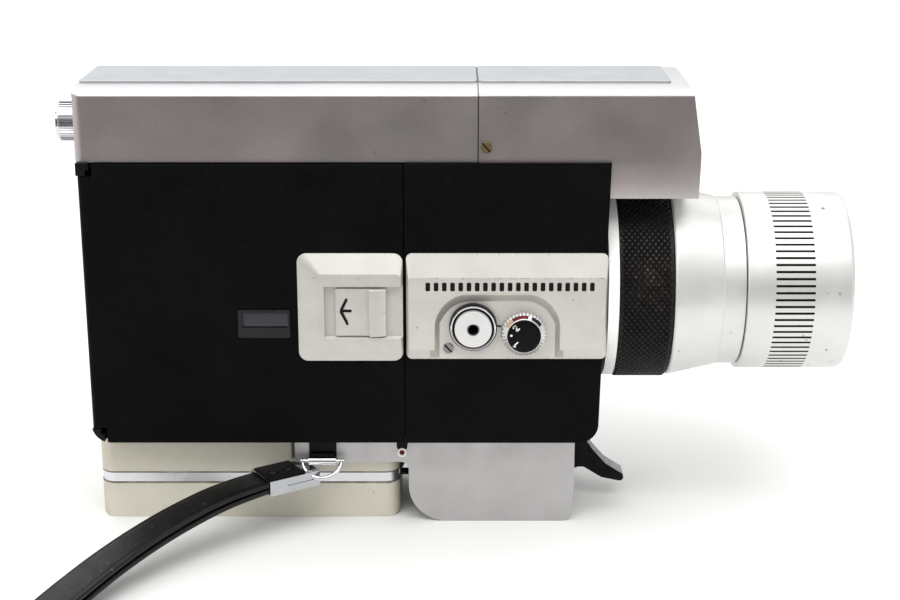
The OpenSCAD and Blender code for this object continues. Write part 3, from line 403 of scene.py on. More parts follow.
def knurl_look():
    """Black rubbed anodising of the zoom grip: brown and pale where fingers turn it."""
    look = Look("zoom_grip_black", Metallic=0.25)
    look.shader.inputs["Specular IOR Level"].default_value = 0.25
    from_axis = look.vector("SUBTRACT", look.at, (0, 0, AXIS_Z))
    radius = look.vector("LENGTH", look.vector("MULTIPLY", from_axis, (0, 1, 1)))
    top = look.spread(radius, 24.95, 25.25)
    from_rub = look.vector("SUBTRACT", look.at, RUBBED_AT)
    near = look.vector("LENGTH", look.vector("MULTIPLY", from_rub, (0.9, 0.3, 0.8)))
    rubbed = look.math("MULTIPLY", look.spread(near, 1.0, 7.5, 1.0, 0.0),
                       look.spread(look.noise(2.6, 4.0, 0.7), 0.35, 0.7))
    base = look.mix(look.spread(look.noise(5.0, 3.0), 0.3, 0.7), rgb(17, 17, 18), rgb(27, 27, 28))
    base = look.mix(rubbed, base, rgb(46, 36, 30))
    tip = look.math("MULTIPLY", look.math("MULTIPLY", top, rubbed),
                    look.spread(look.noise(0.8, 3.0, 0.7, shift=4.0), 0.5, 0.65))
    look.colour(look.mix(look.math("MULTIPLY", tip, 0.5), base, rgb(150, 138, 124)))
    look.rough(look.spread(look.noise(1.2, 3.0), 0.3, 0.7, 0.34, 0.55))
    look.bump(look.noise(0.25, 2.0), 0.012)
    return look.material


def trigger_look():
    """Black trigger whose hollowed front is left as satin metal, painted darker at its rear and lighter
    towards its tip as painted shade and painted highlight.
    """
    look = Look("trigger_two_tone")
    look.shader.inputs["Specular IOR Level"].default_value = 0.06
    front = look.vector("DOT_PRODUCT", look.facing, (0.72, 0.0, 0.69))
    bare = look.math("MULTIPLY", look.spread(front, 0.62, 0.72), look.spread(look.axis(0), 16.3, 16.9))
    look.put(look.shader.inputs["Metallic"], look.math("MULTIPLY", bare, 0.9))
    base = look.mix(look.spread(look.noise(3.0, 3.0), 0.3, 0.7), rgb(15, 15, 16), rgb(27, 27, 28))
    # Painted shade and painted highlight: the satin front goes from dark at its rear to light towards its tip
    satin = look.mix(look.spread(look.axis(0), 16.0, 26.0), rgb(84, 84, 85), rgb(176, 176, 175))
    clean = look.spread(look.noise(1.5, 4.0), 0.3, 0.8, 0.6, 1.0)
    look.colour(look.mix(bare, base, look.mix(clean, rgb(60, 60, 61), satin)))
    look.rough(look.spread(look.noise(0.9, 3.0), 0.3, 0.7, 0.33, 0.5))
    look.bump(look.noise(0.3, 3.0), 0.012)
    return look.material


def strap_look(name, colour, edge):
    """Smooth strap leather: long soft wrinkles, rubbed grey and reddish on its crown; towards the loop's far
    end the grey also stands for a painted sheen.
    """
    look = Look(name)
    look.shader.inputs["Specular IOR Level"].default_value = 0.3
    grain = look.cells(0.55, "DISTANCE_TO_EDGE", warp=0.8)
    pores = look.spread(grain, 0.0, 0.22)
    wrinkle = look.noise(3.0, 4.0, 0.6, stretch=(1.2, 0.7, 1))
    rub = look.math("MULTIPLY", look.spread(look.noise(16.0, 4.0, 0.6, shift=2.0), 0.42, 0.72),
                    look.spread(look.noise(1.1, 4.0, 0.75), 0.35, 0.7))
    base = look.mix(pores, shade(colour, 0.7), colour)
    # Towards the loop's far end the rubbed grey is strengthened as a painted sheen
    sheen_and_wear_end = look.spread(look.axis(0), -135.0, -105.0, 0.8, 0.15)
    base = look.mix(look.math("MULTIPLY", rub, 0.0 if edge else sheen_and_wear_end), base, rgb(92, 86, 90))
    look.colour(look.mix(look.math("MULTIPLY", look.specks(1.8, 0.07), 0.5), base, rgb(150, 122, 116)))
    look.rough(look.spread(look.math("ADD", wrinkle, look.math("MULTIPLY", rub, 0.4)), 0.3, 1.0, 0.27, 0.5))
    look.bump(pores, 0.025)
    look.bump(wrinkle, 0.10)
    return look.material


def floor_look():
    """Pale seamless paper."""
    look = Look("pale_floor")
    look.shader.inputs["Specular IOR Level"].default_value = 0.2
    cloud = look.noise(160.0, 3.0, 0.5)
    look.colour(look.mix(look.spread(cloud, 0.3, 0.7), rgb(239, 239, 237), rgb(243, 243, 242)))
    look.rough(look.spread(cloud, 0.3, 0.7, 0.55, 0.65))
    look.bump(look.noise(0.8, 3.0), 0.01)
    return look.material


black_leather = leather("body_leather", rgb(7, 7, 7), 0.62, 0.085, 0.42)
black_metal = plastic("black_enamel", rgb(11, 11, 12), 0.42, 0.012, 0.4)
black_plastic = plastic("black_plastic", rgb(14, 14, 15), 0.36, 0.008, 0.3, gloss=0.1)
anodised_black = metal("black_anodising", rgb(30, 30, 33), 0.42, 0.006, 0.3, 0.6)
housing = housing_look()
top_plate_look = metal("top_plate_satin", rgb(188, 191, 195), 0.36, 0.004, 0.2, 0.75,
                       (0.1, 2.0, 1.0), 0.08, 0.03)
button_satin = metal("button_satin", rgb(226, 225, 224), 0.3, 0.003, 0.3, 0.4, None, 0.2, 0.03)
dial_satin = metal("dial_satin", rgb(224, 223, 222), 0.22, 0.003, 0.3, 0.62, None, 0.2, 0.05)
chrome = metal("bright_chrome", rgb(222, 222, 226), 0.13, 0.002, 0.5, 1.0, None, 0.15, 0.05)
spine_chrome = spine_look()
clip_chrome = metal("clip_chrome", rgb(184, 186, 189), 0.17, 0.003, 0.5, 1.0, (0.3, 1.0, 2.0), 0.4, 0.08)
block_satin = metal("grip_block_satin", rgb(187, 185, 185), 0.42, 0.006, 0.3, 0.85, None, 0.18, 0.035)
steel = metal("turned_steel", rgb(150, 150, 152), 0.3, 0.006, 0.3)
brass = metal("worn_brass", rgb(148, 128, 92), 0.36, 0.01, 0.3, 1.0, None, 0.5, 0.2)
nickel = metal("contact_nickel", rgb(188, 178, 158), 0.3, 0.006, 0.3)
motor_can = metal("motor_can", rgb(92, 94, 98), 0.45, 0.01, 0.4, 0.9)
barrel = barrel_look("barrel_anodising")
# The flange's copy of the anodising is brighter and not metallic: painted light against the shade it sits in
# between the body and the zoom ring
flange_satin_brightened = barrel_look("flange_anodising_brightened", 0.0, tone=1.1)
focus_satin = barrel_look("focus_anodising", 0.55, [((75.3, -8.9, 82.6), 0.55), ((76.2, -19.0, 47.9), 0.4),
                                                    ((73.2, -12.3, 41.5), 0.45), ((58.6, -23.0, 56.0), 0.3)])
ivory = cream_look()
clear_glass = glass("coated_glass", (0.92, 0.93, 0.98, 1.0))
dark_glass = glass("smoked_window", (0.012, 0.011, 0.012, 1.0), 0.12)
frame_plastic = plastic("window_frame_plastic", rgb(34, 33, 33), 0.3, 0.006, 0.3)
red_paint = plastic("red_paint", rgb(96, 14, 24), 0.4, 0.006, 0.3)
black_paint = plastic("black_ink", rgb(11, 11, 12), 0.5, 0.01, 0.25)
white_paint = plastic("white_ink", rgb(236, 236, 232), 0.5, 0.01, 0.25, 0.04)
tan_paint = plastic("tan_paint", rgb(176, 148, 124), 0.4, 0.006, 0.3, 0.08)
navy_paint = plastic("navy_paint", rgb(22, 26, 34), 0.4, 0.006, 0.3)


control_enamel = plate_look("control_plate_enamel", *box_mm("control_plate"), groove=True)
latch_enamel = plate_look("latch_plate_enamel", *box_mm("latch_plate"), tone=0.93, soil=0.7)
slider_enamel = plate_look("slider_enamel", *box_mm("latch_slider"), tone=0.92, soil=0.5)

FINISH = {
    black_leather: ["side_panel", "left_cover", "film_door", "battery_door"],
    black_metal: ["body_casting"],
    housing: ["rear_top_cover", "front_top_cover"],
    top_plate_look: ["rear_top_plate", "front_top_plate"],
    brass: ["cover_screws", "takeup_spindle"],
    anodised_black: ["finder_tube", "iris_plate", "shutter_disc", "rear_cell", "front_cell",
                     "variator_cell", "lens_tube"],
    clear_glass: ["finder_window", "meter_window", "eyepiece_glass", "front_glass", "variator_glass",
                  "rear_glass"],
    dark_glass: ["window_pane"],
    frame_plastic: ["window_frame"],
    black_plastic: ["button_collar", "release_switch", "strap_bracket", "clip_rivets", "counter_dial"],
    chrome: ["eyepiece_ring", "door_hinge_pin", "trigger_pin", "grip_pivot_pin", "strap_tube", "strap_ring"],
    button_satin: ["release_button"],
    dial_satin: ["mode_dial"],
    clip_chrome: ["strap_clip"],
    spine_chrome: ["grip_spine"],
    control_enamel: ["control_plate"],
    latch_enamel: ["latch_plate"],
    slider_enamel: ["latch_slider"],
    barrel: ["barrel_sleeve"],
    flange_satin_brightened: ["lens_flange"],
    focus_satin: ["focus_ring"],
    block_satin: ["grip_block"],
    steel: ["plate_screw", "motor_shaft", "tripod_bush", "film_gate", "motor_bracket"],
    nickel: ["battery_contacts"],
    motor_can: ["drive_motor"],
    ivory: ["lower_grip_shell", "upper_grip_shell"],
    knurl_look(): ["zoom_ring"],
    trigger_look(): ["trigger"],
    strap_look("strap_cad", rgb(24, 24, 25), False): ["wrist_strap"],
}
for material, names in FINISH.items():
    for name in names:
        target = nodes[name]
        if not target.material_slots:
            raise SystemExit(f"{name} has no material slot")
        for material_slot in target.material_slots:
            material_slot.link = "OBJECT"
            material_slot.material = material


# ---------------------------------------------------------------- softened edges of the CAD parts

SAME_POINT = 0.000004          # metres
FLAT_WITHIN = 0.4              # degrees


def soften(width, names, segments=2, angle=32):
    """Rounds the edges sharper than angle degrees of CAD parts by width millimetres."""
    for name in names:
        target = nodes[name]
        weld = target.modifiers.new("weld", "WELD")
        weld.merge_threshold = SAME_POINT
        flat = target.modifiers.new("flat", "DECIMATE")
        flat.decimate_type = "DISSOLVE"
        flat.angle_limit = math.radians(FLAT_WITHIN)
        bevel = target.modifiers.new("edges", "BEVEL")
        bevel.width = width * MM
        bevel.segments = segments
        bevel.limit_method = "ANGLE"
        bevel.angle_limit = math.radians(angle)
        bevel.use_clamp_overlap = True
        bevel.miter_outer = "MITER_SHARP"
        normals = target.modifiers.new("normals", "WEIGHTED_NORMAL")
        normals.weight = 80
        normals.keep_sharp = False


soften(0.35, ["side_panel", "left_cover", "film_door"], 3)
soften(0.25, ["upper_grip_shell", "lower_grip_shell"], 3)
soften(0.22, ["grip_block", "rear_top_cover", "front_top_cover"], 3)
soften(0.12, ["rear_top_plate", "front_top_plate", "grip_spine", "strap_bracket", "battery_door"])
soften(0.18, ["latch_plate", "control_plate"], 3, 12)
soften(0.4, ["latch_slider"], 3, 12)
soften(0.15, ["strap_clip", "window_frame", "trigger", "release_button"])
soften(0.08, ["button_collar", "plate_screw", "cover_screws", "lens_flange", "barrel_sleeve"])


# ---------------------------------------------------------------- mesh helpers

def piece(name, points, faces, body, materials, pick=None, smooth=30, replaces=()):
    """Makes a mesh in millimetres, puts it on its body and gives it its materials."""
    mesh = bpy.data.meshes.new(name)
    mesh.from_pydata([Vector(p) * MM for p in points], [], faces)
    mesh.validate()
    made = bpy.data.objects.new(name, mesh)
    scene.collection.objects.link(made)
    for material in materials:
        mesh.materials.append(material)
    if pick:
        for face, index in zip(mesh.polygons, pick):
            face.material_index = index
    mesh.polygons.foreach_set("use_smooth", [smooth > 0] * len(mesh.polygons))
    if smooth:
        mesh.set_sharp_from_angle(angle=math.radians(smooth))
    mesh.update()
    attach(made, body)
    if replaces:
        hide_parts(*replaces)
    return made


def about_x(a, r, turn, centre):
    return (a, centre[0] + r * math.sin(turn), centre[1] + r * math.cos(turn))


def about_y(a, r, turn, centre):
    return (centre[0] + r * math.cos(turn), a, centre[1] + r * math.sin(turn))


def lathe(profile, place, centre, count, ripple=None):
    """Turns a closed profile of (along, radius, ripple weight) round an axis."""
    points, faces = [], []
    rows = len(profile)
    for k in range(count):
        turn = 2 * math.pi * k / count
        wave = ripple(k) if ripple else 0.0
        for row in profile:
            radius = row[1] + (row[2] * wave if len(row) > 2 else 0.0)
            points.append(place(row[0], radius, turn, centre))
    for k in range(count):
        here, there = k * rows, ((k + 1) % count) * rows
        for i in range(rows):
            j = (i + 1) % rows
            faces.append((here + i, here + j, there + j, there + i))
    return points, faces


def face_out(made):
    """Makes the faces of a closed mesh look outwards."""
    work = bmesh.new()
    work.from_mesh(made.data)
    bmesh.ops.recalc_face_normals(work, faces=work.faces)
    work.to_mesh(made.data)
    work.free()


def slab(outline, y_out, y_in, points=None, faces=None):
    """Flat shape in X and Z between two Y planes, added to points and faces if given."""
    points = [] if points is None else points
    faces = [] if faces is None else faces
    base, n = len(points), len(outline)
    for y in (y_in, y_out):
        points.extend((x, y, z) for x, z in outline)
    for i in range(n):
        j = (i + 1) % n
        faces.append((base + i, base + j, base + n + j, base + n + i))
    faces.append(tuple(base + n + i for i in range(n)))
    faces.append(tuple(base + i for i in reversed(range(n))))
    return points, faces


def capsule(x0, z0, x1, z1, half, steps=6):
    """Outline of a round-ended stroke."""
    heading = math.atan2(z1 - z0, x1 - x0)
    outline = []
    for x, z, start in ((x1, z1, -90), (x0, z0, 90)):
        for k in range(steps + 1):
            a = heading + math.radians(start + 180 * k / steps)
            outline.append((x + half * math.cos(a), z + half * math.sin(a)))
    return outline


def rounded_box(x0, z0, x1, z1, r, steps=4):
    outline = []
    centres = ((x1 - r, z1 - r, 0), (x0 + r, z1 - r, 90), (x0 + r, z0 + r, 180), (x1 - r, z0 + r, 270))
    for cx, cz, start in centres:
        for k in range(steps + 1):
            a = math.radians(start + 90 * k / steps)
            outline.append((cx + r * math.cos(a), cz + r * math.sin(a)))
    return outline


# ---------------------------------------------------------------- lens grips

def zoom_grip():
    """Zoom ring with a flat-topped diamond knurl."""
    around, across = 168, 18
    x0, x1, valley, peak = 22.65, 35.95, 24.95, 25.3
    step = (x1 - x0) / across
    flat_top = 0.46            # from a diamond's middle to its flat top's edge, as a share of a step
    points, faces, index = [], [], {}

    def low_point(i, j):
        j %= around
        if (i, j) not in index:
            index[i, j] = len(points)
            points.append(about_x(x0 + i * step, valley, 2 * math.pi * j / around, LENS))
        return index[i, j]

    for i in range(across + 1):
        for j in range(around):
            if (i + j) % 2 == 0:
                continue
            ends = [(i - 1, j), (i, j - 1), (i + 1, j), (i, j + 1)]
            if i in (0, across):
                inner = (i + 1, j) if i == 0 else (i - 1, j)
                trio = (low_point(i, j - 1), low_point(*inner), low_point(i, j + 1))
                faces.append(trio if i == 0 else tuple(reversed(trio)))
                continue
            lows = [low_point(*e) for e in ends]
            tops = []
            for e in ends:
                a = i + (e[0] - i) * flat_top
                b = j + (e[1] - j) * flat_top
                tops.append(len(points))
                points.append(about_x(x0 + a * step, peak, 2 * math.pi * b / around, LENS))
            faces.append(tuple(tops))
            for k in range(4):
                m = (k + 1) % 4
                faces.append((lows[k], lows[m], tops[m], tops[k]))
    rows = []
    for a, r in ((22.5, 24.7), (22.5, 20.65), (36.1, 20.65), (36.1, 24.7)):
        row = []
        for j in range(0, around, 2):
            row.append(len(points))
            points.append(about_x(a, r, 2 * math.pi * j / around, LENS))
        rows.append(row)
    rim_low = [low_point(0, j) for j in range(0, around, 2)]
    rim_high = [low_point(across, j) for j in range(0, around, 2)]
    loops = [rim_low] + rows + [rim_high]
    n = around // 2
    for a, b in zip(loops, loops[1:]):
        for k in range(n):
            m = (k + 1) % n
            faces.append((a[k], a[m], b[m], b[k]))
    finish = nodes["zoom_ring"].material_slots[0].material
    made = piece("zoom_grip", points, faces, "zoom", [finish],
                 smooth=12, replaces=["zoom_ring"])
    face_out(made)


def focus_grip():
    """Focus ring whose middle band is cut with fine black grooves."""
    count = 82
    outer, deep = 23.2, 22.85
    groove = 0.62 / outer
    period = 2 * math.pi / count
    band_x = (61.8, 71.7)
    end_wall = 0.12
    profile = [(54.9, 20.65), (54.9, 22.85), (55.0, 23.1), (55.25, outer), (band_x[0], outer),
               (band_x[1], outer), (80.7, outer), (81.25, 23.05), (81.58, 22.75), (81.7, 22.35),
               (81.7, 21.62), (81.6, 21.5),
               (78.2, 21.5), (78.2, 20.95), (70.1, 20.95), (70.1, 20.65)]
    stations = []
    for k in range(count):
        stations += [k * period, k * period + groove, k * period + groove + (period - groove) / 2]
    points, faces, pick = [], [], []
    rows = len(profile)
    for turn in stations:
        for a, radius in profile:
            points.append(about_x(a, radius, turn, LENS))
    band = 4
    for s in range(len(stations)):
        here, there = s * rows, ((s + 1) % len(stations)) * rows
        for i in range(rows):
            j = (i + 1) % rows
            corners = (here + i, here + j, there + j, there + i)
            if i == band and s % 3 == 0:
                floor = []
                near, far = band_x[0] + end_wall, band_x[1] - end_wall
                for a, turn in ((near, stations[s]), (far, stations[s]),
                                (far, stations[s + 1]), (near, stations[s + 1])):
                    floor.append(len(points))
                    points.append(about_x(a, deep, turn, LENS))
                for k in range(4):
                    m = (k + 1) % 4
                    faces.append((corners[k], corners[m], floor[m], floor[k]))
                    pick.append(1)
                faces.append(tuple(floor))
                pick.append(1)
            else:
                faces.append(corners)
                pick.append(0)
    made = piece("focus_grip", points, faces, "focus", [focus_satin, black_paint],
                 pick, 28, ["focus_ring"])
    face_out(made)


zoom_grip()
focus_grip()


# ---------------------------------------------------------------- controls

BUTTON = (-14.2, 55.8)
DIAL = (-1.5, 54.3)
RECESS_Y = ARCH_FLOOR_Y
PLATE_FACE_Y = -25.0


def controls():
    """Ring and socket of the button, the dial, and the marks on the two plates."""
    ring = [(-25.55, 5.82), (-25.75, 5.72), (-25.82, 5.55), (-25.78, 5.3), (-25.6, 5.18), (-25.3, 5.14),
            (-25.3, 5.82)]
    points, faces = lathe(ring, about_y, BUTTON, 72)
    made = piece("button_ring", points, faces, "camera_body", [chrome])
    face_out(made)

    # Bright lip and dark taper of the cable-release socket in the button's face
    lip = [(-27.0, 1.62), (-27.1, 1.52), (-27.1, 1.36), (-26.9, 1.26), (-26.5, 1.3), (-26.5, 1.62)]
    points, faces = lathe(lip, about_y, BUTTON, 40)
    made = piece("button_socket_lip", points, faces, "button", [steel])
    face_out(made)
    taper = [(-26.92, 1.25), (-23.4, 0.8), (-23.4, 0.1), (-23.6, 0.1), (-23.6, 0.68), (-26.92, 1.12)]
    points, faces = lathe(taper, about_y, BUTTON, 40)
    made = piece("button_socket", points, faces, "button", [black_paint])
    face_out(made)

    # Dial: toothed rim with a coned face, stem and retaining collar in one turned piece
    teeth, steps = 36, 6

    def ripple(k):
        return math.cos(2 * math.pi * k / steps)

    rim = [(-18.6, 0.05, 0), (-18.6, 1.5, 0), (-19.2, 1.5, 0), (-19.2, 2.6, 0), (-20.2, 2.6, 0),
           (-20.2, 1.5, 0), (-23.8, 1.5, 0), (-23.8, 5.35, 0.1), (-23.95, 5.5, 0.2), (-26.1, 5.5, 0.2),
           (-26.55, 5.42, 0.18),
           (-26.75, 5.2, 0.08), (-27.5, 4.5, 0), (-27.62, 4.4, 0), (-27.62, 0.05, 0)]
    points, faces = lathe(rim, about_y, DIAL, teeth * steps, ripple)
    made = piece("dial_rim", points, faces, "dial", [dial_satin], None, 40, ["mode_dial"])
    face_out(made)
    cap = [(-27.5, 0.05), (-28.0, 0.05), (-27.98, 3.2), (-27.93, 3.95), (-27.8, 4.2), (-27.5, 4.26)]
    points, faces = lathe(cap, about_y, DIAL, 72)
    made = piece("dial_cap", points, faces, "dial", [black_plastic], None, 40)
    face_out(made)

    def arc(name, start, end, material):
        points, faces = [], []
        count = 18
        for k in range(count + 1):
            turn = math.radians(start + (end - start) * k / count)
            for a, r in ((-27.50, 4.58), (-27.46, 4.52), (-26.78, 5.26), (-26.86, 5.28)):
                points.append(about_y(a, r, turn, DIAL))
        for k in range(count):
            for i in range(4):
                j = (i + 1) % 4
                faces.append((4 * k + i, 4 * k + j, 4 * k + 4 + j, 4 * k + 4 + i))
        faces.append((0, 1, 2, 3))
        faces.append(tuple(4 * count + i for i in (3, 2, 1, 0)))
        face_out(piece(name, points, faces, "dial", [material], None, 40))

    arc("dial_arc_red", 78, 126, red_paint)
    arc("dial_arc_tan", 127, 152, tan_paint)
    arc("dial_arc_navy", 33, 66, navy_paint)

    # Generic marks on the face: the numeral 2, a dot and the numeral 1, all set radially on the left
    def stroke_set(name, strokes, centre, turn, half=0.17):
        points, faces = [], []
        c, s = math.cos(math.radians(turn)), math.sin(math.radians(turn))
        for x0, z0, x1, z1 in strokes:
            ends = [(centre[0] + x * c - z * s, centre[1] + x * s + z * c) for x, z in ((x0, z0), (x1, z1))]
            slab(capsule(*ends[0], *ends[1], half), -28.04, -27.9, points, faces)
        face_out(piece(name, points, faces, "dial", [white_paint], None, 40))

    x, z = DIAL
    stroke_set("dial_mark_two", [(-0.45, 0.5, -0.2, 0.72), (-0.2, 0.72, 0.2, 0.72), (0.2, 0.72, 0.42, 0.45),
                                 (0.42, 0.45, 0.3, 0.1), (0.3, 0.1, -0.45, -0.7), (-0.45, -0.7, 0.48, -0.7)],
               (x - 2.05, z + 2.2), 45)
    stroke_set("dial_mark_dot", [(-0.05, 0, 0.05, 0)], (x - 3.2, z + 0.3), 0, 0.27)
    stroke_set("dial_mark_one", [(0, -0.8, 0, 0.75), (0, 0.75, -0.38, 0.42)], (x - 2.15, z - 2.05), -45 + 180)

    # Index dash beside the dial
    points, faces = slab(capsule(-8.35, 55.75, -7.25, 55.75, 0.24), RECESS_Y - 0.05, RECESS_Y + 0.05)
    face_out(piece("index_dash", points, faces, "camera_body", [black_paint]))

    # Row of printed film-perforation marks along the plate
    points, faces = [], []
    first_mark, mark_pitch, mark_width = -26.1, 2.05, 1.15
    for k in range(21):
        left = first_mark + mark_pitch * k
        outline = rounded_box(left, 65.3, left + mark_width, 67.5, 0.32)
        slab(outline, PLATE_FACE_Y - 0.035, PLATE_FACE_Y + 0.02, points, faces)
    face_out(piece("perforation_marks", points, faces, "camera_body", [black_paint]))

    # Black filling of the arrow on the slider
    points, faces = [], []
    for stroke in ((-47.25, 60.35, -45.95, 63.0), (-47.35, 59.8, -45.75, 56.6), (-46.9, 60.0, -44.9, 60.0)):
        slab(capsule(*stroke, 0.3), -24.66, -24.4, points, faces)
    face_out(piece("slider_arrow", points, faces, "latch", [black_paint]))


controls()


SLOT_TURN = math.radians(48)
# Piece, node, centre in X and Z, face in Y and half the slot's length
SLOTS = (("plate_screw_slot_shade", "plate_screw", (-20.4, 49.9), -24.0, 1.22),
         ("cover_screw_slot_shade", "cover_screws", (-11.1, 101.1), -22.4, 1.32))


def screw_slots():
    """Painted shade: black fill in the slots of the near side's two screws."""
    for name, node, (x, z), y, half in SLOTS:
        c, s = half * math.cos(SLOT_TURN), half * math.sin(SLOT_TURN)
        points, faces = slab(capsule(x - c, z + s, x + c, z - s, 0.19, 3), y + 0.12, y + 0.3)
        face_out(piece(name, points, faces, "camera_body", [black_paint]))


screw_slots()


def eyepiece_grip():
    """Knurled eyepiece collar."""
    teeth, steps = 44, 4
    profile = [(-120.4, 3.4, 0), (-120.4, 5.0, 0), (-120.2, 5.25, 0), (-119.7, 5.3, 0),
               (-119.5, 5.42, 0.12), (-114.0, 5.46, 0.14), (-113.8, 5.3, 0.05), (-113.0, 5.3, 0),
               (-113.0, 4.65, 0), (-119.4, 4.65, 0), (-119.4, 3.4, 0)]
    points, faces = lathe(profile, about_x, (0.0, 103.8), teeth * steps,
                          lambda k: (1, 1, -1, -1)[k % steps])
    face_out(piece("eyepiece_grip", points, faces, "eyepiece", [chrome],
                   None, 25, ["eyepiece_ring"]))


eyepiece_grip()


# ---------------------------------------------------------------- grip pivot

def pivot_details():
    """Pale ring and dark plug at the end of the grip's pin, and the black lug above it."""
    centre = (-32.5, 19.4)
    ring = [(-18.0, 1.25), (-18.28, 1.22), (-18.34, 1.1), (-18.3, 0.82), (-18.1, 0.68), (-18.0, 0.68)]
    points, faces = lathe(ring, about_y, centre, 40)
    face_out(piece("pivot_ring", points, faces, "camera_body", [white_paint]))
    plug = [(-17.95, 0.05), (-18.12, 0.05), (-18.14, 0.6), (-18.05, 0.7), (-17.95, 0.7)]
    points, faces = lathe(plug, about_y, centre, 32)
    face_out(piece("pivot_plug", points, faces, "camera_body", [red_paint]))
    outline = [(-33.9, 23.98), (-33.9, 20.9), (-33.5, 20.2), (-31.5, 20.2), (-31.1, 20.9), (-31.1, 23.98)]
    points, faces = slab(outline, -18.1, -17.95)
    face_out(piece("pivot_lug", points, faces, "camera_body", [black_plastic]))


pivot_details()


# ---------------------------------------------------------------- wrist strap

CLIP_AT = (-68.6, -26.3)
CLIP_TURN = 33.0
BEND_RATE = 0.49               # degrees for each millimetre of strap
BEND_END = 74
PLAN_STEP = 0.5
PLAN_POINTS = 256
# Distance along the loop and height, from the clip out and back
ROUTE = [
    (-5, 15.0), (0, 15.0), (12, 14.1), (24, 12.3), (36, 10.2), (48, 8.1), (60, 6.2), (74, 4.7),
    (90, 4.4), (104, 6.6), (114, 9), (122, 8.6), (125, 5.2), (121, 2.2), (112, 0.9), (98, 0.8),
    (86, 1.2), (74, 2.4), (60, 4.1), (48, 6.1), (36, 8.2), (24, 10.3), (12, 12.2), (0, 13.4), (-5, 13.5),
]


def strap_heading(s):
    return math.radians(180 + CLIP_TURN + BEND_RATE * min(max(s, 0), BEND_END))


def plan_table():
    """Floor plan of the strap, one point for each half millimetre."""
    table = [CLIP_AT]
    for k in range(1, PLAN_POINTS):
        h = strap_heading(k * PLAN_STEP)
        x, y = table[-1]
        table.append((x + PLAN_STEP * math.cos(h), y + PLAN_STEP * math.sin(h)))
    return table


PLAN = plan_table()


def plan_at(s):
    if s <= 0:
        h = strap_heading(0)
        return CLIP_AT[0] + s * math.cos(h), CLIP_AT[1] + s * math.sin(h)
    k = min(int(s / PLAN_STEP), len(PLAN) - 2)
    t = s / PLAN_STEP - k
    return tuple(PLAN[k][i] * (1 - t) + PLAN[k + 1][i] * t for i in (0, 1))


def route_curve(steps):
    """Catmull-Rom curve through the route."""
    curve = []
    last = len(ROUTE) - 1
    for i in range(last):
        a, b, c, d = (ROUTE[max(0, min(last, i + k))] for k in (-1, 0, 1, 2))
        for n in range(steps):
            t = n / steps
            curve.append(tuple(
                0.5 * (2 * b[k] + t * (c[k] - a[k]) + t * t * (2 * a[k] - 5 * b[k] + 4 * c[k] - d[k])
                       + t ** 3 * (3 * b[k] - a[k] - 3 * c[k] + d[k])) for k in (0, 1)))
    curve.append(ROUTE[-1])
    return curve


def strap_band():
    """Leather band with rolled edges, a creased line inside each edge and a low crown."""
    outside = [(-4.9, 0.0), (-4.88, 0.3), (-4.75, 0.5), (-4.5, 0.6), (-4.15, 0.6), (-3.95, 0.52),
               (-3.75, 0.6), (-2.6, 0.64), (0.0, 0.65), (2.6, 0.64), (3.75, 0.6), (3.95, 0.52),
               (4.15, 0.6), (4.5, 0.6), (4.75, 0.5), (4.88, 0.3), (4.9, 0.0)]
    inside = [(4.88, -0.3), (4.75, -0.52), (4.4, -0.62), (0.0, -0.6), (-4.4, -0.62),
              (-4.75, -0.52), (-4.88, -0.3)]
    section = outside + inside
    edge = {i for i, p in enumerate(section) if abs(p[0]) > 4.6}
    curve = route_curve(12)
    n, rows = len(curve), len(section)
    points, faces, pick = [], [], []
    for i in range(n):
        s, z = curve[i]
        before, after = curve[max(i - 1, 0)], curve[min(i + 1, n - 1)]
        ds, dz = after[0] - before[0], after[1] - before[1]
        size = math.hypot(ds, dz)
        ds, dz = ds / size, dz / size
        h = strap_heading(s)
        x, y = plan_at(s)
        for w, t in section:
            points.append((x - w * math.sin(h) - t * dz * math.cos(h),
                           y + w * math.cos(h) - t * dz * math.sin(h), z + t * ds))
    for i in range(n - 1):
        for k in range(rows):
            m = (k + 1) % rows
            faces.append((rows * i + k, rows * i + m, rows * (i + 1) + m, rows * (i + 1) + k))
            pick.append(1 if k in edge and m in edge else 0)
    faces.append(tuple(range(rows)))
    faces.append(tuple(rows * (n - 1) + k for k in reversed(range(rows))))
    pick += [0, 0]
    looks = [strap_look("strap_leather", rgb(13, 13, 15), False),
             strap_look("strap_edge", rgb(17, 15, 14), True)]
    made = piece("strap_band", points, faces, "wrist_loop", looks, pick, 50, ["wrist_strap"])
    face_out(made)


strap_band()


# ---------------------------------------------------------------- studio

def area_light(name, place, target, size, power):
    data = bpy.data.lights.new(name, "AREA")
    data.shape = "RECTANGLE"
    data.size, data.size_y = size
    data.energy = power
    light = bpy.data.objects.new(name, data)
    light.location = place
    light.rotation_euler = (Vector(target) - Vector(place)).to_track_quat("-Z", "Y").to_euler()
    scene.collection.objects.link(light)


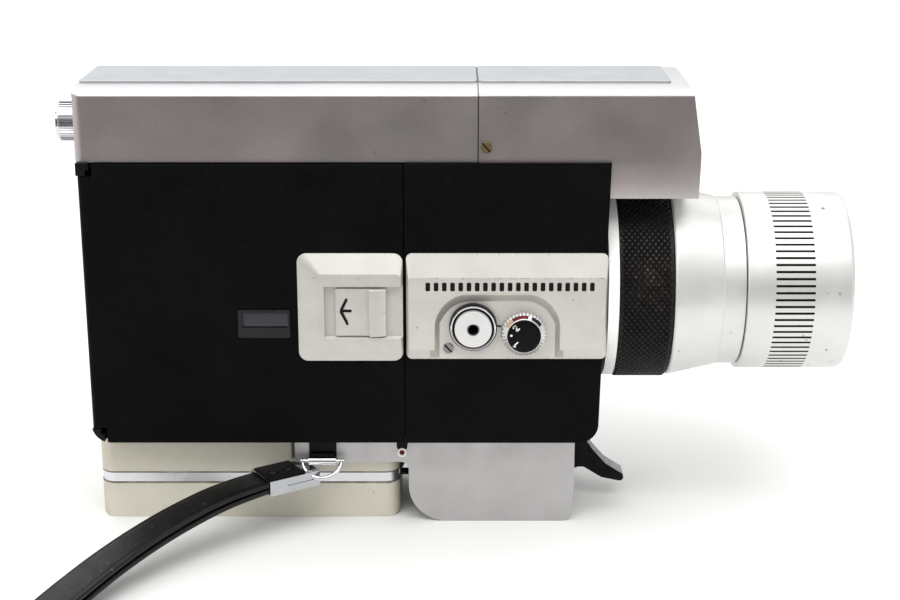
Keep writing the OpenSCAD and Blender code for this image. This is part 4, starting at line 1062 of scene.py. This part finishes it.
def studio():
    """Pale floor, soft light and the camera at the photograph's angle."""
    size, steps = 4.0, 8
    row = steps + 1
    points = [(-size + 2 * size * i / steps, -size + 2 * size * j / steps, 0.0)
              for j in range(steps + 1) for i in range(steps + 1)]
    faces = [(j * row + i, j * row + i + 1, j * row + i + row + 1, j * row + i + row)
             for j in range(steps) for i in range(steps)]
    mesh = bpy.data.meshes.new("floor")
    mesh.from_pydata(points, [], faces)
    mesh.materials.append(floor_look())
    floor = bpy.data.objects.new("floor", mesh)
    scene.collection.objects.link(floor)

    # Grey card in front, seen only in reflections, like the dim room behind a photographer
    mesh = bpy.data.meshes.new("card")
    mesh.from_pydata([(-0.6, -0.2, 0.004), (0.6, -0.2, 0.004), (0.9, -1.1, 0.004), (-0.9, -1.1, 0.004),
                      (0.9, -1.1, 0.42), (-0.9, -1.1, 0.42)], [], [(0, 1, 2, 3), (3, 2, 4, 5)])
    dim = Look("dim_card")
    dim.colour(dim.mix(dim.noise(60.0), rgb(72, 66, 66), rgb(88, 82, 82)))
    dim.rough(dim.spread(dim.noise(20.0), 0.3, 0.7, 0.8, 1.0))
    mesh.materials.append(dim.material)
    card = bpy.data.objects.new("card", mesh)
    scene.collection.objects.link(card)
    card.visible_camera = False
    card.visible_diffuse = False
    card.visible_transmission = False
    card.visible_shadow = False

    world = bpy.data.worlds.new("studio")
    scene.world = world
    world.use_nodes = True
    tree = world.node_tree
    background = tree.nodes["Background"]
    background.inputs[0].default_value = (1.0, 1.0, 1.0, 1.0)
    ray = tree.nodes.new("ShaderNodeLightPath")
    blend = tree.nodes.new("ShaderNodeMapRange")
    blend.inputs["To Min"].default_value = 0.66
    blend.inputs["To Max"].default_value = 1.0
    tree.links.new(ray.outputs["Is Camera Ray"], blend.inputs["Value"])
    tree.links.new(blend.outputs[0], background.inputs[1])

    area_light("overhead", (-0.05, -0.15, 1.25), (0, 0, 0), (1.7, 1.3), 10.5)
    area_light("back", (0.1, 1.15, 0.95), (0.0, 0.45, 0.0), (2.2, 0.9), 6.0)
    area_light("front_left", (-0.9, -0.95, 0.75), (-0.05, 0.0, 0.06), (0.7, 0.7), 2.4)
    area_light("front_top", (0.05, -0.75, 1.15), (0.0, 0.0, 0.05), (1.3, 0.6), 6.0)

    camera_data = bpy.data.cameras.new("camera")
    camera_data.lens = 68.0
    camera_data.sensor_width = 36.0
    camera_data.clip_start = 0.01
    camera = bpy.data.objects.new("camera", camera_data)
    camera.location = (-0.020, -0.4316, 0.185)
    camera.rotation_euler = (math.radians(73.3), 0.0, 0.0)
    scene.collection.objects.link(camera)
    scene.camera = camera
    scene.view_settings.view_transform = "Standard"


studio()
